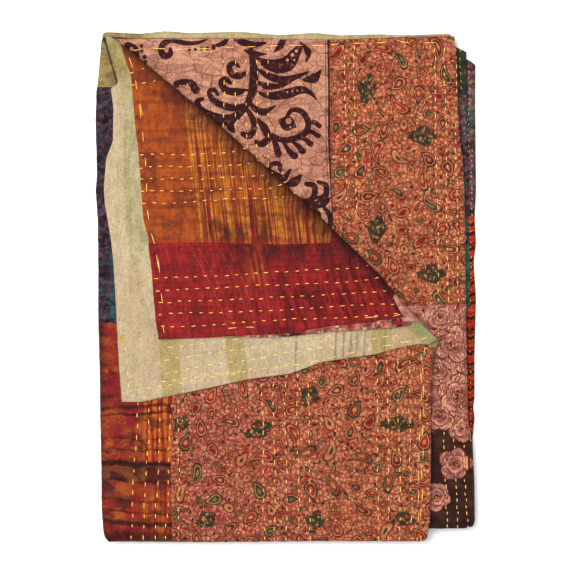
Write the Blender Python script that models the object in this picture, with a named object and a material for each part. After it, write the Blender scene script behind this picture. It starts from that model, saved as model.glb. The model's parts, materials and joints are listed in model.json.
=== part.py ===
"""A quilted patchwork throw, folded flat with one corner turned over, as one closed solid.

The sheet is folded in half, so it lies as two layers with the half fold at the bottom.
The two layers are folded back and forth across the width into four panels, one on another.
The free corner of the top panel is turned over onto it along a slanting roll.
All of it is worked out from the tables below, which hold millimetres as seen from above.
"""

from collections import namedtuple
from math import cos, pi, radians, sin

import bmesh
import bpy
import numpy as np
from mathutils import Vector

MM = 0.001

# The cloth and how tightly it is folded.
SHEET_THICKNESS = 2.2 * MM
LAYER_GAP = 0.8 * MM
FOLD_RADIUS = 3.0 * MM

# The corner that is turned over: its crease from the top left, and the roll along it.
CREASE_START = np.array([-225.2, 310.3]) * MM
CREASE_END = np.array([178.5, -60.5]) * MM
ROLL_CLOTH = 16.0 * MM
CREASE_CUTS = 8
NEAR_CREASE = (-30.0 * MM, -10.0 * MM)

# How far the top panel's overhanging half fold sinks, all of it from this far right of the side fold.
BOTTOM_SAG = 5.0 * MM
SAG_FROM = -296.5 * MM
SAG_LENGTH = 14.0 * MM
SAG_CLEAR_OF_FOLD = (-219.0 * MM, -199.0 * MM)

# Where each layer has a row of points, as shares of its height, and the steps round each fold.
LAYER_ROWS = [
    0.0, 0.01, 0.021, 0.05, 0.12, 0.19, 0.26, 0.33, 0.4, 0.47, 0.54, 0.61, 0.68, 0.76, 0.84, 0.92, 1.0,
]
BOTTOM_FOLD_STEPS = 4
SIDE_FOLD_STEPS = 6

# Edges bent more sharply than this are shaded as edges; cuts closer than this to a point join it.
SHARP_BEND = radians(50)
CUT_MERGE = 0.01 * MM

# A layer's two ends are looked up in turn from a first guess, as each depends on the other.
FIRST_GUESS = (-300.0 * MM, 300.0 * MM)
LOOK_UPS = 4

ByY = namedtuple("ByY", "y x")
ByX = namedtuple("ByX", "x y")
Roll = namedtuple("Roll", "along bulge")
Ripple = namedtuple("Ripple", "length_x length_y phase share")

# The outermost points of the three side folds, and the two layers' free ends.
UPPER_LEFT_FOLD = [
    ByY(-311.5, -221.3), ByY(-300.5, -223.3), ByY(-270.0, -225.6), ByY(-222.4, -225.8),
    ByY(-160.2, -227.2), ByY(-105.3, -227.9), ByY(-43.1, -229.5), ByY(19.2, -229.5),
    ByY(81.4, -230.2), ByY(115.5, -232.7), ByY(138.7, -231.1), ByY(200.9, -232.7),
    ByY(238.8, -231.8), ByY(249.1, -230.2), ByY(279.0, -227.4), ByY(309.5, -225.0),
]
LOWER_LEFT_FOLD = [
    ByY(-295.0, -220.0), ByY(-160.0, -224.5), ByY(20.0, -226.5), ByY(200.0, -228.5),
    ByY(300.0, -222.0),
]
RIGHT_FOLD = [
    ByY(-296.0, 227.5), ByY(-286.0, 230.1), ByY(-235.8, 228.9), ByY(-187.0, 226.4),
    ByY(-162.6, 221.5), ByY(-28.4, 219.4), ByY(87.5, 218.0), ByY(150.0, 216.0),
    ByY(180.0, 212.0), ByY(227.8, 209.4), ByY(280.2, 207.8), ByY(309.0, 204.5),
]
BOTTOM_END_OF_H1 = [
    ByY(-296.0, 226.5), ByY(-284.0, 231.0), ByY(-240.0, 230.6), ByY(-187.0, 228.2),
    ByY(-160.0, 230.8), ByY(-148.0, 228.9), ByY(-75.0, 230.8), ByY(-15.0, 232.5),
    ByY(30.0, 229.6), ByY(53.0, 232.5), ByY(81.0, 230.8), ByY(118.0, 232.5),
    ByY(228.0, 231.3), ByY(279.0, 231.6),
]
BOTTOM_END_OF_H2 = [
    ByY(-296.0, 222.0), ByY(-150.0, 224.0), ByY(-40.0, 223.5), ByY(30.0, 224.5),
    ByY(90.0, 222.0), ByY(200.0, 221.0), ByY(291.0, 220.3),
]
TOP_END_OF_H1 = [
    ByY(-311.5, 170.0), ByY(-297.0, 173.0), ByY(-284.6, 175.2), ByY(-199.2, 176.4),
    ByY(-138.2, 175.8), ByY(-107.7, 177.0), ByY(-80.0, 179.6),
]
H2_SHORT_OF_H1 = 3.0

# The edges of each layer at the top of the picture, and the half fold at its bottom.
SECOND_TOP_OF_H1 = [
    ByX(-223.7, 311.3), ByX(-177.4, 309.0), ByX(-146.9, 312.2), ByX(-117.6, 309.8),
    ByX(-60.3, 311.7), ByX(-9.0, 307.4), ByX(32.5, 310.1), ByX(66.6, 307.1),
    ByX(113.0, 308.3), ByX(144.7, 307.1), ByX(203.3, 309.0),
]
SECOND_TOP_OF_H2 = [
    ByX(-219.0, 306.0), ByX(-190.0, 303.0), ByX(-60.0, 303.6), ByX(60.0, 301.6),
    ByX(110.0, 303.4), ByX(150.0, 305.0), ByX(203.0, 306.2),
]
THIRD_TOP = [ByX(-219.0, 297.0), ByX(0.0, 299.0), ByX(199.0, 300.5)]
BOTTOM_TOP_OF_H1 = [ByX(-215.0, 284.0), ByX(100.0, 281.0), ByX(221.0, 279.5), ByX(231.6, 271.0)]
BOTTOM_TOP_OF_H2 = [ByX(-215.0, 293.0), ByX(120.0, 295.0), ByX(207.0, 294.0), ByX(220.0, 287.5)]
TOP_BOTTOM = [
    ByX(-216.0, -311.3), ByX(-100.0, -312.0), ByX(40.0, -310.6), ByX(162.0, -311.0),
    ByX(168.0, -309.8), ByX(172.0, -306.5),
]
LOWER_BOTTOM = [ByX(-216.0, -294.5), ByX(0.0, -296.0), ByX(219.0, -295.3), ByX(226.0, -292.0)]

# The turned corner's edges as it lies: down its left side, then along its bottom to the right.
FLAP_LEFT_OF_H1 = [
    ByY(307.1, -221.3), ByY(294.9, -217.6), ByY(270.5, -210.3), ByY(247.3, -203.6),
    ByY(242.4, -214.0), ByY(216.8, -210.8), ByY(176.5, -211.5), ByY(157.0, -219.4),
    ByY(122.9, -222.5), ByY(99.7, -221.3), ByY(58.2, -214.0), ByY(30.1, -210.8),
    ByY(-18.7, -207.9), ByY(-94.3, -204.2), ByY(-139.4, -200.6),
]
FLAP_BOTTOM_OF_H1 = [
    ByX(-200.6, -140.7), ByX(-177.4, -140.7), ByX(-118.2, -128.5), ByX(-83.4, -121.1),
    ByX(-45.0, -112.6), ByX(3.2, -106.5), ByX(43.4, -91.9), ByX(110.5, -82.1),
    ByX(136.2, -74.8), ByX(160.6, -69.9), ByX(172.8, -71.1),
]
FLAP_LEFT_OF_H2 = [
    ByY(303.5, -218.5), ByY(294.9, -215.0), ByY(270.5, -207.6), ByY(247.3, -201.8),
    ByY(215.6, -197.0), ByY(166.8, -197.5), ByY(81.4, -195.7), ByY(44.8, -189.6),
    ByY(8.2, -181.0), ByY(-30.9, -167.6), ByY(-63.8, -156.6),
]
FLAP_BOTTOM_OF_H2 = [
    ByX(-156.6, -63.8), ByX(-131.0, -62.6), ByX(-37.1, -61.4), ByX(50.8, -52.8),
    ByX(128.8, -43.1), ByX(169.0, -43.5), ByX(174.0, -47.5),
]

# How many times wider than high the roll is, along the crease from the top left.
CREASE_ROLL = [
    Roll(0.0, 0.40), Roll(40.0, 1.10), Roll(110.0, 1.70), Roll(190.0, 2.30), Roll(290.0, 2.45),
    Roll(360.0, 2.30), Roll(450.0, 1.80), Roll(500.0, 0.80), Roll(548.0, 0.50),
]

# Soft ripples that lift or lower the stack by a share of the height there.
RIPPLES = [
    Ripple(260.0, 410.0, 0.4, 0.020), Ripple(-190.0, 300.0, 2.1, 0.016),
    Ripple(520.0, -240.0, 4.0, 0.018),
]

# Where each panel has a row of points from its left to its right, as shares of its width.
BOTTOM_ROWS = [0.0, 0.2, 0.45, 0.7, 0.86, 0.96, 0.985, 1.0]
HIDDEN_ROWS = [0.0, 0.25, 0.5, 0.75, 1.0]
SECOND_ROWS = [0.0, 0.1, 0.17, 0.24, 0.38, 0.5, 0.58, 0.66, 0.77, 0.84, 0.95, 1.0]
TOP_ROWS = [
    0.0, 0.02, 0.047, 0.1, 0.155, 0.165, 0.22, 0.29, 0.36, 0.44, 0.53, 0.62, 0.71, 0.8,
    0.88, 0.94, 0.975, 0.99, 1.0,
]

CLOTH_COLOR = (0.33, 0.115, 0.065, 1.0)
CLOTH_ROUGHNESS = 0.85

LAYER_OFFSET = (SHEET_THICKNESS + LAYER_GAP) / 2
OUTER = LAYER_OFFSET + SHEET_THICKNESS / 2
INNER = LAYER_OFFSET - SHEET_THICKNESS / 2
FOLD_REACH = FOLD_RADIUS + OUTER
PANEL_PITCH = 2 * FOLD_RADIUS
TOP_PANEL = 3
ROLL_HEIGHT = OUTER + TOP_PANEL * PANEL_PITCH + FOLD_RADIUS
TOP_PANEL_SLACK = 0.2 * LAYER_GAP
CREASE = (CREASE_END - CREASE_START) / np.linalg.norm(CREASE_END - CREASE_START)
ACROSS = np.array([-CREASE[1], CREASE[0]])


def look_up(rows, at):
    """A table's second column at one value of its first."""
    points = sorted((row[0] * MM, row[1] * MM) for row in rows)
    return float(np.interp(at, [p[0] for p in points], [p[1] for p in points]))


def opened(x, y):
    """Where a point of the turned corner was before it was turned, in millimetres."""
    point = np.array([x, y]) * MM - CREASE_START
    flat = CREASE_START + point @ CREASE * CREASE + (ROLL_CLOTH - point @ ACROSS) * ACROSS
    return flat / MM


def opened_top(rows, first):
    """The top edge of the top panel before its corner was turned."""
    return [first] + [ByX(*opened(row.x, row.y)) for row in rows]


def opened_side(rows, end):
    """The right edge of the top panel before its corner was turned."""
    flat = [opened(row.x, row.y) for row in rows]
    return end + [ByY(y, x) for x, y in flat]


TOP_TOP_OF_H1 = opened_top(FLAP_LEFT_OF_H1, ByX(-219.4, 303.2))
TOP_TOP_OF_H2 = opened_top(FLAP_LEFT_OF_H2, ByX(-219.4, 300.5))
TOP_SIDE_OF_H1 = opened_side(FLAP_BOTTOM_OF_H1, TOP_END_OF_H1)
TOP_END_OF_H2 = [ByY(row.y, row.x - H2_SHORT_OF_H1) for row in TOP_END_OF_H1]
TOP_SIDE_OF_H2 = opened_side(FLAP_BOTTOM_OF_H2, TOP_END_OF_H2)

Panel = namedtuple("Panel", "left left_reach right_h2 right_h1 reach bottom top_h2 top_h1 rows")
PANELS = [
    Panel(LOWER_LEFT_FOLD, FOLD_REACH, BOTTOM_END_OF_H2, BOTTOM_END_OF_H1, 0.0,
          LOWER_BOTTOM, BOTTOM_TOP_OF_H2, BOTTOM_TOP_OF_H1, BOTTOM_ROWS),
    Panel(LOWER_LEFT_FOLD, FOLD_REACH, RIGHT_FOLD, RIGHT_FOLD, FOLD_REACH,
          LOWER_BOTTOM, THIRD_TOP, THIRD_TOP, HIDDEN_ROWS),
    Panel(UPPER_LEFT_FOLD, FOLD_REACH, RIGHT_FOLD, RIGHT_FOLD, FOLD_REACH,
          LOWER_BOTTOM, SECOND_TOP_OF_H2, SECOND_TOP_OF_H1, SECOND_ROWS),
    Panel(UPPER_LEFT_FOLD, FOLD_REACH, TOP_SIDE_OF_H2, TOP_SIDE_OF_H1, 0.0,
          TOP_BOTTOM, TOP_TOP_OF_H2, TOP_TOP_OF_H1, TOP_ROWS),
]


def panel_x(panel, h1_share, u, y):
    """x at one share of the panel's width, between its layers' own right edges."""
    left = look_up(panel.left, y) + panel.left_reach
    of_h2 = look_up(panel.right_h2, y) - panel.reach
    of_h1 = look_up(panel.right_h1, y) - panel.reach
    right = of_h2 + (of_h1 - of_h2) * h1_share
    return left + (right - left) * u


def panel_edges(panel, h1_share, u):
    """y of the half fold and of the layer's free edge, on one row of the panel."""
    top_rows = panel.top_h1 if h1_share > 0.5 else panel.top_h2
    bottom, top = FIRST_GUESS
    for _ in range(LOOK_UPS):
        top = look_up(top_rows, panel_x(panel, h1_share, u, top))
        bottom = look_up(panel.bottom, panel_x(panel, 0.5, u, bottom))
    return bottom, top


def section():
    """Each point of a cross-section: its share of h1, its height up the layer and its bend."""
    points = [(0.0, v, 0.0) for v in LAYER_ROWS[::-1]]
    for i in range(1, BOTTOM_FOLD_STEPS):
        bend = pi * i / BOTTOM_FOLD_STEPS
        points.append(((1 - cos(bend)) / 2, 0.0, bend))
    points += [(1.0, v, pi) for v in LAYER_ROWS]
    return points


def level(panel_index, offset):
    """Height of a point of a flat panel, offset towards h1 from the panel's middle."""
    up = 1 if panel_index % 2 else -1
    return OUTER + panel_index * PANEL_PITCH + offset * up


def place(station, point, reach):
    """A point of the folded sheet before its corner is turned over."""
    panel_index, u, turn = station
    h1_share, v, bend = point
    panel = PANELS[panel_index]
    offset = -reach * cos(bend)
    bottom, top = panel_edges(panel, h1_share, u)
    if turn is not None:
        after = PANELS[panel_index + 1]
        next_bottom, next_top = panel_edges(after, h1_share, u)
        share = (1 - cos(turn)) / 2
        bottom += (next_bottom - bottom) * share
        top += (next_top - top) * share
    start = bottom + OUTER
    y = start + (top - start) * v
    x = panel_x(panel, h1_share, u, y)
    y -= reach * sin(bend)
    if turn is None:
        return x, y, level(panel_index, offset)
    side = 1 if panel_index % 2 else -1
    radius = FOLD_RADIUS - offset * side
    middle = (level(panel_index, 0) + level(panel_index + 1, 0)) / 2
    return x + side * radius * sin(turn), y, middle - radius * cos(turn)


def stations():
    """Every row of points along the double sheet, from its end in the bottom panel."""
    found = []
    for index, panel in enumerate(PANELS):
        rows = panel.rows if index % 2 else panel.rows[::-1]
        found += [(index, u, None) for u in rows]
        if index < TOP_PANEL:
            turns = [pi * i / SIDE_FOLD_STEPS for i in range(1, SIDE_FOLD_STEPS)]
            found += [(index, rows[-1], turn) for turn in turns]
    return found


def folded_sheet():
    """The closed mesh with its corner still flat."""
    rows = stations()
    points = section()
    mesh = bmesh.new()
    skins = []
    for reach in (OUTER, INNER):
        skins.append([[mesh.verts.new(place(row, point, reach)) for point in points] for row in rows])
    outside, inside = skins
    for a in range(len(rows) - 1):
        for i in range(len(points) - 1):
            b = a + 1
            j = i + 1
            mesh.faces.new((outside[a][i], outside[a][j], outside[b][j], outside[b][i]))
            mesh.faces.new((inside[a][i], inside[b][i], inside[b][j], inside[a][j]))
        for i, order in ((0, 1), (len(points) - 1, -1)):
            rim = (outside[a][i], outside[a + 1][i], inside[a + 1][i], inside[a][i])
            mesh.faces.new(rim[::order])
    for a, order in ((0, 1), (len(rows) - 1, -1)):
        for i in range(len(points) - 1):
            end = (outside[a][i], inside[a][i], inside[a][i + 1], outside[a][i + 1])
            mesh.faces.new(end[::order])
    bmesh.ops.recalc_face_normals(mesh, faces=mesh.faces)
    return mesh


def on_top_panel(vertex):
    return vertex.co.z > level(TOP_PANEL, -OUTER) - TOP_PANEL_SLACK


def cut_along_crease(mesh):
    """Edges along the crease, so that the roll is round across it."""
    cuts = [ROLL_CLOTH * i / CREASE_CUTS for i in range(CREASE_CUTS + 1)]
    for distance in list(NEAR_CREASE) + cuts:
        at = CREASE_START + distance * ACROSS
        faces = [f for f in mesh.faces if all(on_top_panel(v) for v in f.verts)]
        edges = {e for f in faces for e in f.edges}
        verts = {v for f in faces for v in f.verts}
        bmesh.ops.bisect_plane(
            mesh,
            geom=faces + list(edges) + list(verts),
            dist=CUT_MERGE,
            plane_co=Vector((at[0], at[1], 0)),
            plane_no=Vector((ACROSS[0], ACROSS[1], 0)),
        )


def turn_corner(mesh):
    """Rolls the part beyond the crease over onto the top panel."""
    along_rows = [row.along * MM for row in CREASE_ROLL]
    bulges = [row.bulge for row in CREASE_ROLL]
    for vertex in mesh.verts:
        from_start = np.array(vertex.co.xy) - CREASE_START
        along = from_start @ CREASE
        past = from_start @ ACROSS
        if not on_top_panel(vertex) or past <= 0:
            continue
        radius = ROLL_HEIGHT - vertex.co.z
        turn = pi * min(past / ROLL_CLOTH, 1)
        bulge = np.interp(along, along_rows, bulges)
        out = bulge * radius * sin(turn) - max(past - ROLL_CLOTH, 0)
        vertex.co.xy = CREASE_START + along * CREASE + out * ACROSS
        vertex.co.z = ROLL_HEIGHT - radius * cos(turn)


def settle(mesh):
    """Sinks the overhanging fold and ripples the stack, its underside staying flat."""
    for vertex in mesh.verts:
        x, y, z = vertex.co
        if on_top_panel(vertex) and y < SAG_FROM:
            free = np.interp(x, SAG_CLEAR_OF_FOLD, (0.0, 1.0))
            vertex.co.z -= free * BOTTOM_SAG * ((SAG_FROM - y) / SAG_LENGTH) ** 2
        lift = 0.0
        for ripple in RIPPLES:
            waves = x / (ripple.length_x * MM) + y / (ripple.length_y * MM)
            lift += ripple.share * sin(2 * pi * waves + ripple.phase)
        vertex.co.z *= 1 + lift


def make_throw():
    mesh = folded_sheet()
    cut_along_crease(mesh)
    turn_corner(mesh)
    settle(mesh)
    bmesh.ops.triangulate(mesh, faces=mesh.faces)
    data = bpy.data.meshes.new("throw")
    mesh.to_mesh(data)
    mesh.free()
    data.polygons.foreach_set("use_smooth", [True] * len(data.polygons))
    data.set_sharp_from_angle(angle=SHARP_BEND)
    throw = bpy.data.objects.new("throw", data)
    bpy.context.scene.collection.objects.link(throw)
    return throw


def cloth_material():
    material = bpy.data.materials.new("patchwork_cloth")
    material.use_nodes = True
    shader = material.node_tree.nodes["Principled BSDF"]
    shader.inputs["Base Color"].default_value = CLOTH_COLOR
    shader.inputs["Roughness"].default_value = CLOTH_ROUGHNESS
    shader.inputs["Metallic"].default_value = 0.0
    material.diffuse_color = CLOTH_COLOR
    return material


for item in list(bpy.data.objects):
    bpy.data.objects.remove(item)

make_throw().data.materials.append(cloth_material())
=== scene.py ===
import json
from collections import namedtuple
from math import cos, pi, radians, sin

import bmesh
import bpy
import numpy as np
from bpy.props import FloatProperty, FloatVectorProperty, PointerProperty
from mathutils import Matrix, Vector

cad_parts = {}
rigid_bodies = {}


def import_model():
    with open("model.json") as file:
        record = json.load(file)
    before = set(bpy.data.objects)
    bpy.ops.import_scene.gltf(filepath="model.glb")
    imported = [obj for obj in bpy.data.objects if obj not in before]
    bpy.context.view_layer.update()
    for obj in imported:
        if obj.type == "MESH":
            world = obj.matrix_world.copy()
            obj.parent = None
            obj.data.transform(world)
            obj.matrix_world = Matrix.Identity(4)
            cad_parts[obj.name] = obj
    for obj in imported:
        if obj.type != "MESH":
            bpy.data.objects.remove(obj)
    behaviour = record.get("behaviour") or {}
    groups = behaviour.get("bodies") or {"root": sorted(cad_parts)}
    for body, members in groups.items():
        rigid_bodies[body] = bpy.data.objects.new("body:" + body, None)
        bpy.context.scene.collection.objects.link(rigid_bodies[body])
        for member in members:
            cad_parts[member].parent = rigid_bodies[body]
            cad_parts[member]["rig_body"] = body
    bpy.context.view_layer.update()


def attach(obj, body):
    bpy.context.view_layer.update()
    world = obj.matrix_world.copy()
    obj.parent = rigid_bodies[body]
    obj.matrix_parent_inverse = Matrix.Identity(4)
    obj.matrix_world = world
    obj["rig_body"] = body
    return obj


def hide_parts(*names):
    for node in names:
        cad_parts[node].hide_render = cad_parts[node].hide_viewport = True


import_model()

bl_info = {
    "name": "Folded patchwork throw",
    "version": (1, 0, 0),
    "blender": (4, 5, 0),
    "location": "View3D > Sidebar > Throw",
    "description": "A hand-stitched patchwork throw, folded flat with one corner turned over",
    "category": "Object",
}

MM = 0.001

# The solid's fold, as in the part's source.
SHEET_THICKNESS = 2.2 * MM
LAYER_GAP = 0.8 * MM
FOLD_RADIUS = 3.0 * MM
CREASE_START = np.array([-225.2, 310.3]) * MM
CREASE_END = np.array([178.5, -60.5]) * MM
ROLL_CLOTH = 16.0 * MM
BOTTOM_SAG = 5.0 * MM
SAG_FROM = -296.5 * MM
SAG_LENGTH = 14.0 * MM
SAG_CLEAR_OF_FOLD = (-219.0 * MM, -199.0 * MM)
LAYER_OFFSET = (SHEET_THICKNESS + LAYER_GAP) / 2
OUTER = LAYER_OFFSET + SHEET_THICKNESS / 2
INNER = LAYER_OFFSET - SHEET_THICKNESS / 2
FOLD_REACH = FOLD_RADIUS + OUTER
PANEL_PITCH = 2 * FOLD_RADIUS
TOP_PANEL = 3
ROLL_HEIGHT = OUTER + TOP_PANEL * PANEL_PITCH + FOLD_RADIUS
CREASE = (CREASE_END - CREASE_START) / np.linalg.norm(CREASE_END - CREASE_START)
ACROSS = np.array([-CREASE[1], CREASE[0]])

# The backing lies inside the solid's skin, and the patches make up the rest.
PATCH_BED = 0.6 * MM
INNER_BED = 0.3 * MM
PATCH_SKIN = 0.1 * MM

# A patch goes so far round a side fold and round the half fold, in radians.
SIDE_WRAP = 2.6
HALF_WRAP = 1.9

# The cloth puffs up between the rows of stitches, in mm, and a row draws in so much of it.
PUFF = 0.75
HOLLOW_WIDTH = 3.0

# The turned corner's cloth stretches this much in its roll, and the roll is squarer than round.
ROLL_STRETCH = 1.7
ROLL_SQUARENESS = 0.72

# What age does to a dye's colour.
AGED = (0.66, 0.55, 0.42)
PALE = (0.52, 0.48, 0.42)
SILK = (0.44, 0.32, 0.20)
FRESH = (0.90, 0.86, 0.80)

# Threads to the metre of the plain weave.
THREADS = 900.0

# Patches, prints and stitches are laid out in squares of this side, from the top left.
SQUARE = 1.22 * MM
MIDDLE = np.array([286.4, 286.7])


def squares(rows):
    """Rows of (across, down) in squares as points in metres."""
    rows = np.asarray(rows, float)
    return np.stack([rows[..., 0] - MIDDLE[0], MIDDLE[1] - rows[..., 1]], -1) * SQUARE


ByY = namedtuple("ByY", "y x")
ByX = namedtuple("ByX", "x y")


def by_y(*rows):
    """x for each y, in mm."""
    return [ByY(*row) for row in rows]


def by_x(*rows):
    """y for each x, in mm."""
    return [ByX(*row) for row in rows]


UPPER_LEFT_FOLD = by_y(
    (-311.5, -221.3), (-300.5, -223.3), (-270.0, -225.6), (-222.4, -225.8), (-160.2, -227.2),
    (-105.3, -227.9), (-43.1, -229.5), (19.2, -229.5), (81.4, -230.2), (115.5, -232.7),
    (138.7, -231.1), (200.9, -232.7), (238.8, -231.8), (249.1, -230.2), (279.0, -227.4),
    (309.5, -225.0),
)
LOWER_LEFT_FOLD = by_y(
    (-295.0, -220.0), (-160.0, -224.5), (20.0, -226.5), (200.0, -228.5), (300.0, -222.0),
)
RIGHT_FOLD = by_y(
    (-296.0, 227.5), (-286.0, 230.1), (-235.8, 228.9), (-187.0, 226.4), (-162.6, 221.5),
    (-28.4, 219.4), (87.5, 218.0), (150.0, 216.0), (180.0, 212.0), (227.8, 209.4), (280.2, 207.8),
    (309.0, 204.5),
)
BOTTOM_END_OF_H1 = by_y(
    (-296.0, 226.5), (-284.0, 231.0), (-240.0, 230.6), (-187.0, 228.2), (-160.0, 230.8),
    (-148.0, 228.9), (-75.0, 230.8), (-15.0, 232.5), (30.0, 229.6), (53.0, 232.5), (81.0, 230.8),
    (118.0, 232.5), (228.0, 231.3), (279.0, 231.6),
)
BOTTOM_END_OF_H2 = by_y(
    (-296.0, 222.0), (-150.0, 224.0), (-40.0, 223.5), (30.0, 224.5), (90.0, 222.0), (200.0, 221.0),
    (291.0, 220.3),
)
TOP_END_OF_H1 = by_y(
    (-311.5, 170.0), (-297.0, 173.0), (-284.6, 175.2), (-199.2, 176.4), (-138.2, 175.8),
    (-107.7, 177.0), (-80.0, 179.6),
)
H2_SHORT_OF_H1 = 3.0
SECOND_TOP_OF_H1 = by_x(
    (-223.7, 311.3), (-177.4, 309.0), (-146.9, 312.2), (-117.6, 309.8), (-60.3, 311.7),
    (-9.0, 307.4), (32.5, 310.1), (66.6, 307.1), (113.0, 308.3), (144.7, 307.1), (203.3, 309.0),
)
SECOND_TOP_OF_H2 = by_x(
    (-219.0, 306.0), (-190.0, 303.0), (-60.0, 303.6), (60.0, 301.6), (110.0, 303.4), (150.0, 305.0),
    (203.0, 306.2),
)
THIRD_TOP = by_x(
    (-219.0, 297.0), (0.0, 299.0), (199.0, 300.5),
)
BOTTOM_TOP_OF_H1 = by_x(
    (-215.0, 284.0), (100.0, 281.0), (221.0, 279.5), (231.6, 271.0),
)
BOTTOM_TOP_OF_H2 = by_x(
    (-215.0, 293.0), (120.0, 295.0), (207.0, 294.0), (220.0, 287.5),
)
TOP_BOTTOM = by_x(
    (-216.0, -311.3), (-100.0, -312.0), (40.0, -310.6), (162.0, -311.0), (168.0, -309.8),
    (172.0, -306.5),
)
LOWER_BOTTOM = by_x(
    (-216.0, -294.5), (0.0, -296.0), (219.0, -295.3), (226.0, -292.0),
)
FLAP_LEFT_OF_H1 = by_y(
    (307.1, -221.3), (294.9, -217.6), (270.5, -210.3), (247.3, -203.6), (242.4, -214.0),
    (216.8, -210.8), (176.5, -211.5), (157.0, -219.4), (122.9, -222.5), (99.7, -221.3),
    (58.2, -214.0), (30.1, -210.8), (-18.7, -207.9), (-94.3, -204.2), (-139.4, -200.6),
)
FLAP_BOTTOM_OF_H1 = by_x(
    (-200.6, -140.7), (-177.4, -140.7), (-118.2, -128.5), (-83.4, -121.1), (-45.0, -112.6),
    (3.2, -106.5), (43.4, -91.9), (110.5, -82.1), (136.2, -74.8), (160.6, -69.9), (172.8, -71.1),
)
FLAP_LEFT_OF_H2 = by_y(
    (303.5, -218.5), (294.9, -215.0), (270.5, -207.6), (247.3, -201.8), (215.6, -197.0),
    (166.8, -197.5), (81.4, -195.7), (44.8, -189.6), (8.2, -181.0), (-30.9, -167.6),
    (-63.8, -156.6),
)
FLAP_BOTTOM_OF_H2 = by_x(
    (-156.6, -63.8), (-131.0, -62.6), (-37.1, -61.4), (50.8, -52.8), (128.8, -43.1), (169.0, -43.5),
    (174.0, -47.5),
)
Roll = namedtuple("Roll", "along bulge")
CREASE_ROLL = [
    Roll(0.0, 0.40), Roll(40.0, 1.10), Roll(110.0, 1.70), Roll(190.0, 2.30), Roll(290.0, 2.45),
    Roll(360.0, 2.30), Roll(450.0, 1.80), Roll(500.0, 0.80), Roll(548.0, 0.50),
]
Ripple = namedtuple("Ripple", "length_x length_y phase share")
RIPPLES = [
    Ripple(260.0, 410.0, 0.4, 0.020), Ripple(-190.0, 300.0, 2.1, 0.016),
    Ripple(520.0, -240.0, 4.0, 0.018),
]


def curve(rows):
    """A table's two columns in metres, in the order that np.interp needs."""
    points = np.array(sorted((row[0], row[1]) for row in rows)) * MM
    return points[:, 0], points[:, 1]


def read(table, at):
    """A table's second column at a value of its first."""
    return np.interp(at, table[0], table[1])


def from_crease(x, y):
    """How far along the crease a place is, and how far past it."""
    x, y = x - CREASE_START[0], y - CREASE_START[1]
    return x * CREASE[0] + y * CREASE[1], x * ACROSS[0] + y * ACROSS[1]


def by_crease(along, past):
    """The place so far along the crease and so far past it."""
    return [CREASE_START[i] + along * CREASE[i] + past * ACROSS[i] for i in (0, 1)]


def turned_over(x, y):
    """Swaps a place on the turned corner with the place it had before it was turned."""
    along, past = from_crease(x, y)
    return by_crease(along, ROLL_CLOTH - past)


def before_turning(rows, first_column):
    """A turned edge's rows as they were before, in the table's own order of columns."""
    found = []
    for row in rows:
        x, y = (value / MM for value in turned_over(row.x * MM, row.y * MM))
        found.append((x, y) if first_column == "x" else (y, x))
    return found


TOP_END_OF_H2 = [(row.y, row.x - H2_SHORT_OF_H1) for row in TOP_END_OF_H1]
TOP_TOP_OF_H1 = [(-219.4, 303.2)] + before_turning(FLAP_LEFT_OF_H1, "x")
TOP_TOP_OF_H2 = [(-219.4, 300.5)] + before_turning(FLAP_LEFT_OF_H2, "x")
TOP_SIDE_OF_H1 = list(TOP_END_OF_H1) + before_turning(FLAP_BOTTOM_OF_H1, "y")
TOP_SIDE_OF_H2 = TOP_END_OF_H2 + before_turning(FLAP_BOTTOM_OF_H2, "y")

Panel = namedtuple("Panel", "left right_h2 right_h1 right_reach bottom top_h2 top_h1 joins_right")
PANELS = [
    Panel(curve(LOWER_LEFT_FOLD), curve(BOTTOM_END_OF_H2), curve(BOTTOM_END_OF_H1), 0.0,
          curve(LOWER_BOTTOM), curve(BOTTOM_TOP_OF_H2), curve(BOTTOM_TOP_OF_H1), None),
    Panel(curve(LOWER_LEFT_FOLD), curve(RIGHT_FOLD), curve(RIGHT_FOLD), FOLD_REACH,
          curve(LOWER_BOTTOM), curve(THIRD_TOP), curve(THIRD_TOP), 2),
    Panel(curve(UPPER_LEFT_FOLD), curve(RIGHT_FOLD), curve(RIGHT_FOLD), FOLD_REACH,
          curve(LOWER_BOTTOM), curve(SECOND_TOP_OF_H2), curve(SECOND_TOP_OF_H1), 1),
    Panel(curve(UPPER_LEFT_FOLD), curve(TOP_SIDE_OF_H2), curve(TOP_SIDE_OF_H1), 0.0,
          curve(TOP_BOTTOM), curve(TOP_TOP_OF_H2), curve(TOP_TOP_OF_H1), None),
]
JOINS_LEFT = [1, 0, 3, 2]

# Soft ridges pressed into the cloth: where, from end to end, in squares; half width and rise
# in mm. They fade out near the crease.
OVER_FADE = 10 * MM
UNDER_FADE = 20 * MM
HIDDEN_BY_CORNER = 22 * MM
Ridge = namedtuple("Ridge", "x0 y0 x1 y1 width rise")
FRONT_RIDGES = [
    Ridge(96, 467, 176, 463, 3.2, 1.5), Ridge(99, 474, 168, 471, 2.6, -0.7),
    Ridge(98, 410, 172, 404, 3.0, 0.9), Ridge(98, 521, 176, 520, 2.8, 0.9),
    Ridge(100, 440, 160, 437, 3.5, 0.6), Ridge(100, 495, 168, 492, 4.0, 0.6),
    Ridge(172, 372, 174, 541, 3.0, 0.5), Ridge(250, 415, 256, 541, 6.0, 0.5),
    Ridge(330, 400, 326, 541, 6.0, 0.5), Ridge(368, 390, 372, 538, 4.0, 0.5),
    Ridge(430, 350, 431, 530, 3.0, 0.5), Ridge(100, 120, 103, 310, 4.0, 0.5),
]
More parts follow.
